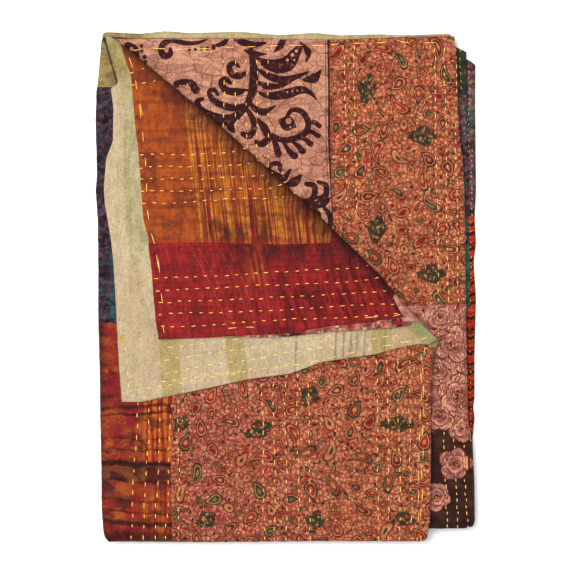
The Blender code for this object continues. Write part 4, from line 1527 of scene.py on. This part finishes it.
def print_roses(patch, material):
    """Roses of overlapping petals, pale at the rim and dark towards the heart."""
    ink = Ink(patch)
    random = np.random.default_rng(7)
    for x, y, size, turn in ROSES:
        level = 0.0
        for ring, (reach, count) in enumerate(((1.0, 5), (0.60, 5), (0.30, 3))):
            for k in range(count):
                angle = turn + 360 * (k + 0.5 * ring) / count + random.uniform(-12, 12)
                ahead = np.array([cos(radians(angle)), -sin(radians(angle))])
                middle = np.array([x, y]) + ahead * size * reach * 0.30
                length = size * reach * random.uniform(0.50, 0.62)
                width = size * reach * random.uniform(0.54, 0.74)
                shade = random.uniform(0.84, 1.08)
                ink.shape(*middle, length, width, angle, PETAL_EDGE, level, 0.0, "oval")
                for step, (part, tint) in enumerate(zip((0.91, 0.66, 0.42), PETAL_TINTS)):
                    inner = middle - ahead * length * (0.93 - part) * 0.46
                    ink.shape(*inner, length * part, width * part, angle,
                              [shade * value for value in tint], level + 0.2 + 0.2 * step, 0.0,
                              "oval")
                level += 0.9
        for k in range(7):
            spot = np.array([x, y]) + random.normal(0, size * 0.045, 2)
            ink.dot(*spot, size * 0.035, ((70, 60, 40), (206, 176, 120))[k % 2], level + 0.5)
    for k in range(34):
        place = random.uniform((404, 306), (472, 470))
        ink.shape(*place, random.uniform(7, 13), 3.0, random.uniform(0, 360),
                  (PETAL_EDGE, (176, 120, 96))[k % 2], 0, 1.0)
    return ink.piece("rose_motifs", material)


def print_scrolls(patch, material):
    """Scrolls, leaves and dots, and the border line at the seam."""
    ink = Ink(patch)
    for places, widths in SCROLLS:
        widths = [1.15 * width + 0.3 for width in widths]
        ink.stroke(places, widths, PLUM)
        ink.dot(*places[0], widths[0] / 2, PLUM)
        ink.dot(*places[-1], widths[-1] / 2, PLUM)
    for x, y, length, width, angle in SCROLL_LEAVES:
        ink.shape(x, y, length, width, angle, PLUM)
    for x, y, radius in SCROLL_DOTS:
        ink.dot(x, y, radius, PLUM)
    for x, y, radius in SCROLL_HOLES:
        ink.dot(x, y, radius, PINK, 2)
    for x, width in ((325.4, 0.5), (328.4, 2.1)):
        ink.stroke([(x, 40), (x + 0.5, 90), (x + 0.8, 140), (x + 3, 190), (x + 5, 226)],
                   (1.1 * width, 0.8 * width, 1.2 * width, 0.9 * width, 1.1 * width), PLUM, 0, 16)
    return ink.piece("scroll_motifs", material)


# Stitching: lines in squares, from one end to the other, on a face of the sheet.
Row = namedtuple("Row", "x0 y0 x1 y1")
Stitching = namedtuple("Stitching", "name face lift pitch length width rows thread seed")


def columns(places, top, bottom, lean=0.0):
    """Rows of stitches running down."""
    return [Row(x, top, x + lean, bottom) for x in places]


def down_to_crease(places, top):
    """Columns from the top edge down to where the turned corner hides them."""
    left, start = CREASE_TOP
    return [Row(x, top, x, start + (x - left) / CREASE_SLOPE - SHORT_OF_CREASE) for x in places]


STITCHINGS = [
    Stitching("front_stitches", (3, 1, "outer"), 0.10, 9.4, 4.9, 1.2,
              columns([262, 273, 285, 297, 308], 366, 538, 2)
              + columns([376, 387, 398, 409], 352, 538, 2) + columns([178], 392, 538, 1),
              "gold", 1),
    Stitching("front_faint_stitches", (3, 1, "outer"), 0.10, 9.8, 3.8, 0.9,
              columns([190, 202, 214, 226, 238, 250], 388, 538, 1)
              + columns([320, 331, 342, 353, 364], 362, 538, 1), "salmon", 2),
    Stitching("silk_front_stitches", (3, 1, "outer"), 0.06, 10.5, 4.9, 1.2,
              [Row(138, 404, 131, 537), Row(150, 400, 143, 537), Row(161, 398, 155, 537),
               Row(171, 394, 166, 537)],
              "gold", 3),
    Stitching("hem_stitches_front", (3, 1, "outer"), 0.10, 20.0, 14.0, 1.0,
              [Row(424, 350, 421, 536), Row(421, 356, 418, 538)], "gold", 4),
    Stitching("second_stitches", (2, 0, "outer"), 0.10, 8.2, 4.6, 1.2,
              columns([434.5, 444.5, 454.5], 50, 300, 4) + columns([344, 353.5], 48, 216, 3),
              "gold", 5),
    Stitching("second_faint_stitches", (2, 0, "outer"), 0.10, 9.0, 3.9, 0.95,
              down_to_crease([363, 373, 383], 46) + columns([393, 403.5, 414, 424], 46, 296, 3),
              "salmon", 6),
    Stitching("rose_stitches", (2, 0, "outer"), 0.04, 6.6, 3.8, 1.15,
              [Row(437, 308, 448, 527), Row(447, 308, 458, 527), Row(456, 308, 468, 527),
               Row(466, 312, 470, 440)], "gold", 7),
    Stitching("scroll_yellow_stitches", (2, 0, "outer"), 0.10, 9.6, 4.6, 1.1,
              down_to_crease([224, 235, 246, 257, 268], 62), "gold", 8),
    Stitching("scroll_red_stitches", (2, 0, "outer"), 0.04, 9.6, 3.4, 0.75,
              down_to_crease([156, 167, 178, 190, 202, 213, 280, 291, 302, 313], 48), "red", 9),
    Stitching("hem_stitches_top", (2, 0, "outer"), 0.12, 21.0, 14.0, 1.0,
              [Row(136, 50, 318, 45), Row(334, 43.5, 452, 42)], "gold", 10),
    Stitching("corner_stitches", (3, 0, "corner"), 0.14, 9.7, 4.2, 1.1,
              [Row(142, 156, 240, 153), Row(141, 168, 254, 165), Row(142, 180, 268, 177),
               Row(142, 192, 276, 189), Row(144, 204, 290, 197), Row(132, 74, 154, 66),
               Row(134, 86, 172, 78)], "gold", 11),
    Stitching("red_silk_stitches", (3, 0, "corner"), 0.20, 9.9, 4.3, 1.1,
              [Row(156, 279, 364, 268), Row(158, 291, 374, 280), Row(160, 303, 384, 292),
               Row(161, 315, 392, 304), Row(163, 327, 396, 314)], "gold", 12),
    Stitching("corner_hem_stitches", (3, 0, "corner"), 0.20, 22.0, 13.0, 1.0,
              [Row(131, 62, 141, 110), Row(141, 112, 149, 214), Row(149, 216, 158, 262),
               Row(159, 266, 165, 330), Row(232, 328, 252, 327), Row(370, 318, 398, 314)],
              "gold", 13),
    Stitching("violet_stitches", (0, 0, "outer"), 0.10, 7.0, 3.2, 0.9,
              [Row(461, 50, 462, 88)], "cream", 14),
    Stitching("margin_stitches", (3, 1, "corner_inner"), 0.04, 10.5, 5.4, 1.2,
              [Row(150, 388, 286, 365), Row(166, 373, 330, 346), Row(167, 360, 350, 333),
               Row(170, 347, 310, 331), Row(163, 382, 250, 369), Row(300, 352, 396, 335),
               Row(126, 350, 129, 386)],
              "lemon", 15),
    Stitching("margin_hem_stitches", (3, 1, "corner_inner"), 0.04, 18.0, 11.0, 1.15,
              [Row(296, 365, 424, 338)], "lemon", 16),
    Stitching("underside_stitches", (0, 1, "outer"), -0.25, 12.0, 5.4, 1.0,
              columns(range(122, 470, 23), 60, 524), "salmon", 18),
    Stitching("edge_stitches", (0, 1, "inner"), 0.10, 5.2, 2.4, 0.9,
              [Row(470, 66, 469, 150), Row(472, 150, 473, 214), Row(471, 216, 471, 430)],
              "cream", 17),
]


def stitch_lines(stitching):
    """The rows of one stitching as a mesh of edges on the cloth."""
    points, edges = [], []
    for row in stitching.rows:
        count = max(6, int(np.hypot(row.x1 - row.x0, row.y1 - row.y0) / 4))
        t = np.linspace(0, 1, count)
        wave = 0.5 * np.sin(t * 9 + row.x0)
        upright = abs(row.y1 - row.y0) > abs(row.x1 - row.x0)
        across = row.x0 + (row.x1 - row.x0) * t + wave * upright
        down = row.y0 + (row.y1 - row.y0) * t + wave * (not upright)
        line, _ = on_face(*stitching.face, across, down, stitching.lift)
        first = len(points)
        points += line.tolist()
        edges += [(first + i, first + i + 1) for i in range(count - 1)]
    data = bpy.data.meshes.new(stitching.name)
    data.from_pydata(points, edges, [])
    return put(stitching.name, data)


# How uneven the stitches are: moved aside, shorter or longer, tilted and turned in radians.
JITTER = 0.9 * MM
SHORTEST = 0.72
LONGEST = 1.2
FLATNESS = 0.75
TILT = 0.02
TURN = 0.12


def stitch_tree(material):
    """Geometry Nodes: a small rounded stitch at even steps along every line."""
    tree = bpy.data.node_groups.new("running_stitch", "GeometryNodeTree")
    face = tree.interface
    face.new_socket("Geometry", in_out="INPUT", socket_type="NodeSocketGeometry")
    for name in ("Pitch", "Stitch length", "Stitch width"):
        face.new_socket(name, in_out="INPUT", socket_type="NodeSocketFloat")
    face.new_socket("Seed", in_out="INPUT", socket_type="NodeSocketInt")
    face.new_socket("Geometry", in_out="OUTPUT", socket_type="NodeSocketGeometry")
    nodes, links = tree.nodes, tree.links

    def add(kind, values=(), **settings):
        made = nodes.new(kind)
        for key, value in settings.items():
            setattr(made, key, value)
        for key, value in dict(values).items():
            if isinstance(value, bpy.types.NodeSocket):
                links.new(value, made.inputs[key])
            else:
                made.inputs[key].default_value = value
        return made

    given = add("NodeGroupInput").outputs
    curves = add("GeometryNodeMeshToCurve", {"Mesh": given["Geometry"]})
    even = add("GeometryNodeResampleCurve",
               {"Curve": curves.outputs["Curve"], "Length": given["Pitch"]}, mode="LENGTH")
    points = add("GeometryNodeCurveToPoints", {"Curve": even.outputs["Curve"]}, mode="EVALUATED")
    jitter = add("FunctionNodeRandomValue",
                 {"Min": (-JITTER, -JITTER, 0.0), "Max": (JITTER, JITTER, 0.0),
                  "Seed": given["Seed"]}, data_type="FLOAT_VECTOR")
    moved = add("GeometryNodeSetPosition",
                {"Geometry": points.outputs["Points"], "Offset": jitter.outputs[0]})
    ball = add("GeometryNodeMeshUVSphere", {"Segments": 7, "Rings": 5, "Radius": 0.5})
    longer = add("FunctionNodeRandomValue", {2: SHORTEST, 3: LONGEST, "Seed": given["Seed"]},
                 data_type="FLOAT")
    length = add("ShaderNodeMath", {0: given["Stitch length"], 1: longer.outputs[1]},
                 operation="MULTIPLY")
    flatter = add("ShaderNodeMath", {0: given["Stitch width"], 1: FLATNESS}, operation="MULTIPLY")
    size = add("ShaderNodeCombineXYZ", {"X": given["Stitch width"], "Y": flatter.outputs[0],
                                        "Z": length.outputs[0]})
    instances = add("GeometryNodeInstanceOnPoints",
                    {"Points": moved.outputs["Geometry"], "Instance": ball.outputs["Mesh"],
                     "Rotation": points.outputs["Rotation"], "Scale": size.outputs[0]})
    turned = add("FunctionNodeRandomValue",
                 {"Min": (-TILT, -TURN, 0.0), "Max": (TILT, TURN, 0.0), "Seed": given["Seed"]},
                 data_type="FLOAT_VECTOR")
    leaned = add("GeometryNodeRotateInstances",
                 {"Instances": instances.outputs["Instances"], "Rotation": turned.outputs[0]})
    solid = add("GeometryNodeRealizeInstances", {"Geometry": leaned.outputs["Instances"]})
    dressed = add("GeometryNodeSetMaterial",
                  {"Geometry": solid.outputs["Geometry"], "Material": material})
    smooth = add("GeometryNodeSetShadeSmooth", {"Geometry": dressed.outputs["Geometry"]})
    add("NodeGroupOutput", {"Geometry": smooth.outputs["Geometry"]})
    return tree


def sew(stitching, material, settings):
    """Runs the stitches of one stitching along its lines, as one plain mesh."""
    lines = stitch_lines(stitching)
    tree = stitch_tree(material)
    modifier = lines.modifiers.new("stitches", "NODES")
    modifier.node_group = tree
    values = {
        "Pitch": stitching.pitch * SQUARE * settings.pitch_scale,
        "Stitch length": stitching.length * SQUARE * settings.length_scale,
        "Stitch width": stitching.width * MM * settings.width_scale,
        "Seed": stitching.seed,
    }
    for item in tree.interface.items_tree:
        if item.in_out == "INPUT" and item.name in values:
            modifier[item.identifier] = values[item.name]
    graph = bpy.context.evaluated_depsgraph_get()
    data = bpy.data.meshes.new_from_object(lines.evaluated_get(graph))
    data.name = stitching.name
    bpy.data.objects.remove(lines)
    return wear(put(stitching.name, data), material)


# The backing sheet.

BACKING_STEPS = {"bottom": 30, "third": 14, "second": 60, "top": 96}
LAYER_STEPS = 96
HALF_FOLD_STEPS = 8
SIDE_FOLD_STEPS = 10


def backing_stations(coarse):
    """Where the backing's cross-sections stand: panel, share of its way, turn of the fold."""
    counts = list(BACKING_STEPS.values())
    found = []
    for panel, count in enumerate(counts):
        rows = np.linspace(0, 1, max(4, int(count / coarse)) + 1)
        if panel == TOP_PANEL:
            rows = np.sort(np.append(rows, [0.006, 0.012, 0.155, 0.165, 0.99]))
        rows = rows if panel % 2 else rows[::-1]
        found += [(panel, float(u), 0.0) for u in rows]
        if panel < TOP_PANEL:
            turns = [pi * i / SIDE_FOLD_STEPS for i in range(1, SIDE_FOLD_STEPS)]
            found += [(panel, float(rows[-1]), turn) for turn in turns]
    return found


def backing_section(coarse):
    """One cross-section: share of layer h1, share of the way up, bend of the half fold."""
    up = np.linspace(0, 1, int(LAYER_STEPS / coarse) + 1)
    up = np.sort(np.append(up, [0.004, 0.007]))
    points = [(0.0, v, 0.0) for v in up[::-1]]
    for i in range(1, HALF_FOLD_STEPS):
        bend = pi * i / HALF_FOLD_STEPS
        points.append(((1 - cos(bend)) / 2, 0.0, bend))
    points += [(1.0, v, pi) for v in up]
    return np.array(points)


def make_backing(cream, mosaic):
    """The whole quilted sheet, closed, folded as the solid is."""
    coarse = 1.0
    stations = backing_stations(coarse)
    section = backing_section(coarse)
    rows, count = len(stations), len(section)
    skins, flats = [], []
    for reach in (OUTER - PATCH_BED, INNER + INNER_BED):
        points, flat = [], []
        for panel, u, turn in stations:
            bare = section[:, 0] * (reach > LAYER_OFFSET and panel == 0)
            full = reach + PATCH_BED * bare * (turn == 0) * np.clip(40 * u - 1, 0, 1)
            row, x, y = backing_row(panel, u, turn, section, full)
            if panel == TOP_PANEL:
                past = from_crease(x, y)[1] > 0
                x, y = (np.where(past, new, old) for new, old in zip(turned_over(x, y), (x, y)))
            points.append(row)
            flat.append(np.stack([x, y], -1))
        skins.append(np.array(points))
        flats.append(np.array(flat))
    shift, loop = rows * count, rim(rows, count)
    faces = grid_faces(rows, count) + grid_faces(rows, count, True, shift)
    faces += wall(loop, [i + shift for i in loop])
    piece = link("throw_sheet", np.concatenate([s.reshape(-1, 3) for s in skins]), faces,
                 np.concatenate([f.reshape(-1, 2) for f in flats]))
    mesh = bmesh.new()
    mesh.from_mesh(piece.data)
    bmesh.ops.recalc_face_normals(mesh, faces=mesh.faces)
    mesh.to_mesh(piece.data)
    mesh.free()
    wear(piece, cream)
    piece.data.materials.append(mosaic)
    top_row = next(i for i, station in enumerate(stations) if station[0] == TOP_PANEL)
    hidden = top_row * (count - 1)
    which = [1] * hidden + [0] * (len(faces) - hidden)
    piece.data.polygons.foreach_set("material_index", which)
    return piece


# Settings, operators and the panel.


class ThrowClothSettings(bpy.types.PropertyGroup):
    flat_width: FloatProperty(name="Opened width", description="Width of the sheet opened out",
                              default=1.24, min=0.5, max=3.0, subtype="DISTANCE", unit="LENGTH")
    flat_length: FloatProperty(name="Opened length", description="Length of the sheet opened out",
                               default=1.77, min=0.5, max=3.0, subtype="DISTANCE", unit="LENGTH")


class ThrowStitchSettings(bpy.types.PropertyGroup):
    pitch_scale: FloatProperty(name="Pitch", description="Stitch spacing against the real one",
                               default=1.0, min=0.5, max=3.0, subtype="FACTOR")
    length_scale: FloatProperty(name="Length", description="Stitch length against the real one",
                                default=1.0, min=0.5, max=2.0, subtype="FACTOR")
    width_scale: FloatProperty(name="Thread", description="Thread size against the real one",
                               default=1.0, min=0.5, max=2.0, subtype="FACTOR")


FLOOR_REACH = 6.0
FLOOR_CORNERS = [(-1, -1), (1, -1), (1, 1), (-1, 1)]
KEY_SIDE = 1.4
KEY_PLACE = (-0.75, 0.45, 1.9)
SENSOR_WIDTH = 36.0
THROW_MIDDLE = 0.02
PICTURE_SIDE = 573 * SQUARE


class ThrowStageSettings(bpy.types.PropertyGroup):
    floor_color: FloatVectorProperty(name="Floor", description="Colour of the floor", size=3,
                                     default=(1.0, 1.0, 1.0), min=0.0, max=1.0, subtype="COLOR")
    key_power: FloatProperty(name="Key light", description="Power of the large soft light",
                             default=52.0, min=0.0, max=1000.0, unit="POWER")
    world_light: FloatProperty(name="Room light", description="Strength of light from all round",
                               default=0.86, min=0.0, max=5.0)
    camera_height: FloatProperty(name="Camera height", description="Camera height above the floor",
                                 default=3.2, min=0.5, max=10.0, subtype="DISTANCE", unit="LENGTH")
    frame_side: FloatProperty(name="Picture side", description="What the picture's side spans",
                              default=PICTURE_SIDE, min=0.2, max=3.0, subtype="DISTANCE",
                              unit="LENGTH")


class THROW_OT_backing(bpy.types.Operator):
    """Make the folded sheet with its cream backing"""

    bl_idname = "throw.backing"
    bl_label = "Folded sheet"

    def execute(self, context):
        sheet = make_backing(cream_backing(), mosaic_cloth())
        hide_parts("throw")
        return {"FINISHED"}


PATCH_CLOTHS = {
    "beige_corner": beige_piece,
    "purple_print": lambda: blotched(
        "purple_cotton", ((44, 38, 60), (66, 54, 84)),
        [((104, 80, 122), 0.6, 1.2), ((132, 88, 58), 0.5, 1.7), ((58, 104, 112), 0.4, 1.4),
         ((28, 22, 34), 0.85, 1.1)], 110.0, corner=(110, 250, (40, 104, 116))),
    "rust_silk": rust_silk,
    "lower_paisley": paisley_ground,
    "scroll_print": scroll_ground,
    "rose_print": plum_ground,
    "dark_green": lambda: blotched(
        "dark_green_cotton", ((34, 46, 36), (66, 84, 80)),
        [((30, 30, 26), 0.7, 0.5), ((96, 120, 112), 0.7, 0.8), ((150, 96, 66), 0.5, 1.7)], 90.0),
    "violet_print": lambda: blotched(
        "violet_cotton", ((98, 70, 92), (72, 68, 96)),
        [((62, 106, 112), 0.8, 0.45), ((150, 88, 62), 0.55, 1.0), ((44, 44, 70), 0.8, 0.7),
         ((150, 120, 150), 0.6, 1.6), ((190, 150, 100), 0.5, 2.2)], 100.0),
    "teal_cloth": teal_cloth,
    "zigzag_upper": zigzag_cloth,
    "cream_margin": cream_backing,
    "sage_band": sage_band,
    "orange_silk": orange_silk,
    "red_silk": red_silk,
    "pink_sliver": lambda: blotched(
        "plum_pink_print", ((150, 80, 84), (206, 150, 144)),
        [((240, 226, 216), 0.95, 0.8), ((52, 30, 40), 0.95, 0.45), ((168, 42, 56), 0.8, 1.1)],
        150.0, False),
    "pink_strip": lambda: blotched(
        "pink_cotton", ((190, 130, 130), (214, 170, 164)),
        [((150, 60, 70), 0.7, 0.8), ((230, 210, 204), 0.5, 1.3)], 130.0, False),
}
SAME_CLOTH = {"upper_paisley": "lower_paisley", "violet_facing": "violet_print",
              "zigzag_facing": "zigzag_upper"}


class THROW_OT_patches(bpy.types.Operator):
    """Sew the patches onto the folded sheet"""

    bl_idname = "throw.patches"
    bl_label = "Patches"

    def execute(self, context):
        cloths = {name: make() for name, make in PATCH_CLOTHS.items()}
        for patch in PATCHES:
            sew_patch(patch, cloths[SAME_CLOTH.get(patch.name, patch.name)])
        return {"FINISHED"}


class THROW_OT_prints(bpy.types.Operator):
    """Print the scrolls, paisleys and roses on their patches"""

    bl_idname = "throw.prints"
    bl_label = "Prints"

    def execute(self, context):
        ink = printed_ink()
        by_name = {patch.name: patch for patch in PATCHES}
        print_scrolls(by_name["scroll_print"], ink)
        print_paisley(by_name["upper_paisley"], "upper_paisley_motifs", UPPER_CLUSTERS, 3, ink)
        print_paisley(by_name["lower_paisley"], "lower_paisley_motifs", LOWER_CLUSTERS, 5, ink)
        print_roses(by_name["rose_print"], ink)
        return {"FINISHED"}


class THROW_OT_stitches(bpy.types.Operator):
    """Run the rows of stitches through the throw"""

    bl_idname = "throw.stitches"
    bl_label = "Stitches"

    def execute(self, context):
        settings = context.scene.throw_stitches
        threads = {
            "gold": thread("gold_thread", (236, 172, 74), (255, 214, 118)),
            "salmon": thread("salmon_thread", (196, 124, 84), (214, 150, 100)),
            "red": thread("red_thread", (150, 42, 46), (176, 70, 66)),
            "cream": thread("cream_thread", (200, 180, 110), (226, 206, 130)),
            "lemon": thread("lemon_thread", (222, 200, 100), (236, 218, 130)),
        }
        for stitching in STITCHINGS:
            sew(stitching, threads[stitching.thread], settings)
        return {"FINISHED"}


class THROW_OT_stage(bpy.types.Operator):
    """Set the floor, the lights and the camera"""

    bl_idname = "throw.stage"
    bl_label = "Stage"

    def execute(self, context):
        settings = context.scene.throw_stage
        scene = context.scene
        corners = [(x * FLOOR_REACH, y * FLOOR_REACH, 0.0) for x, y in FLOOR_CORNERS]
        floor = link("floor", corners, [(0, 1, 2, 3)], smooth=False)
        material = bpy.data.materials.new("pale_floor")
        material.use_nodes = True
        shader = material.node_tree.nodes["Principled BSDF"]
        shader.inputs["Base Color"].default_value = (*settings.floor_color, 1.0)
        shader.inputs["Roughness"].default_value = 0.9
        floor.data.materials.append(material)
        world = bpy.data.worlds.new("soft_room")
        world.use_nodes = True
        background = world.node_tree.nodes["Background"]
        background.inputs["Color"].default_value = (1.0, 1.0, 1.0, 1.0)
        background.inputs["Strength"].default_value = settings.world_light
        scene.world = world
        light = bpy.data.lights.new("key_light", "AREA")
        light.shape = "RECTANGLE"
        light.size = light.size_y = KEY_SIDE
        light.energy = settings.key_power
        key = put("key_light", light)
        key.location = KEY_PLACE
        key.rotation_mode = "QUATERNION"
        key.rotation_quaternion = (Vector((0.0, 0.0, 0.0)) - key.location).to_track_quat("-Z", "Y")
        data = bpy.data.cameras.new("camera")
        data.sensor_width = SENSOR_WIDTH
        data.lens = SENSOR_WIDTH * settings.camera_height / settings.frame_side
        camera = put("camera", data)
        camera.location = (0.0, 0.0, settings.camera_height + THROW_MIDDLE)
        scene.camera = camera
        scene.view_settings.view_transform = "Standard"
        return {"FINISHED"}


class THROW_PT_panel(bpy.types.Panel):
    bl_idname = "THROW_PT_panel"
    bl_label = "Patchwork throw"
    bl_space_type = "VIEW_3D"
    bl_region_type = "UI"
    bl_category = "Throw"

    def draw(self, context):
        layout = self.layout
        for group in ("throw_cloth", "throw_stitches", "throw_stage"):
            settings = getattr(context.scene, group)
            box = layout.box()
            for name in settings.bl_rna.properties.keys():
                if name not in ("rna_type", "name"):
                    box.prop(settings, name)
        for operator in STEPS:
            layout.operator(operator.bl_idname)


STEPS = [THROW_OT_backing, THROW_OT_patches, THROW_OT_prints, THROW_OT_stitches, THROW_OT_stage]
GROUPS = [ThrowClothSettings, ThrowStitchSettings, ThrowStageSettings]


def register():
    for group in GROUPS + STEPS + [THROW_PT_panel]:
        bpy.utils.register_class(group)
    bpy.types.Scene.throw_cloth = PointerProperty(type=ThrowClothSettings)
    bpy.types.Scene.throw_stitches = PointerProperty(type=ThrowStitchSettings)
    bpy.types.Scene.throw_stage = PointerProperty(type=ThrowStageSettings)


def unregister():
    for name in ("throw_cloth", "throw_stitches", "throw_stage"):
        delattr(bpy.types.Scene, name)
    for group in [THROW_PT_panel] + STEPS[::-1] + GROUPS[::-1]:
        bpy.utils.unregister_class(group)


def main():
    register()
    bpy.ops.throw.backing()
    bpy.ops.throw.patches()
    bpy.ops.throw.prints()
    bpy.ops.throw.stitches()
    bpy.ops.throw.stage()


if __name__ == "__main__":
    main()
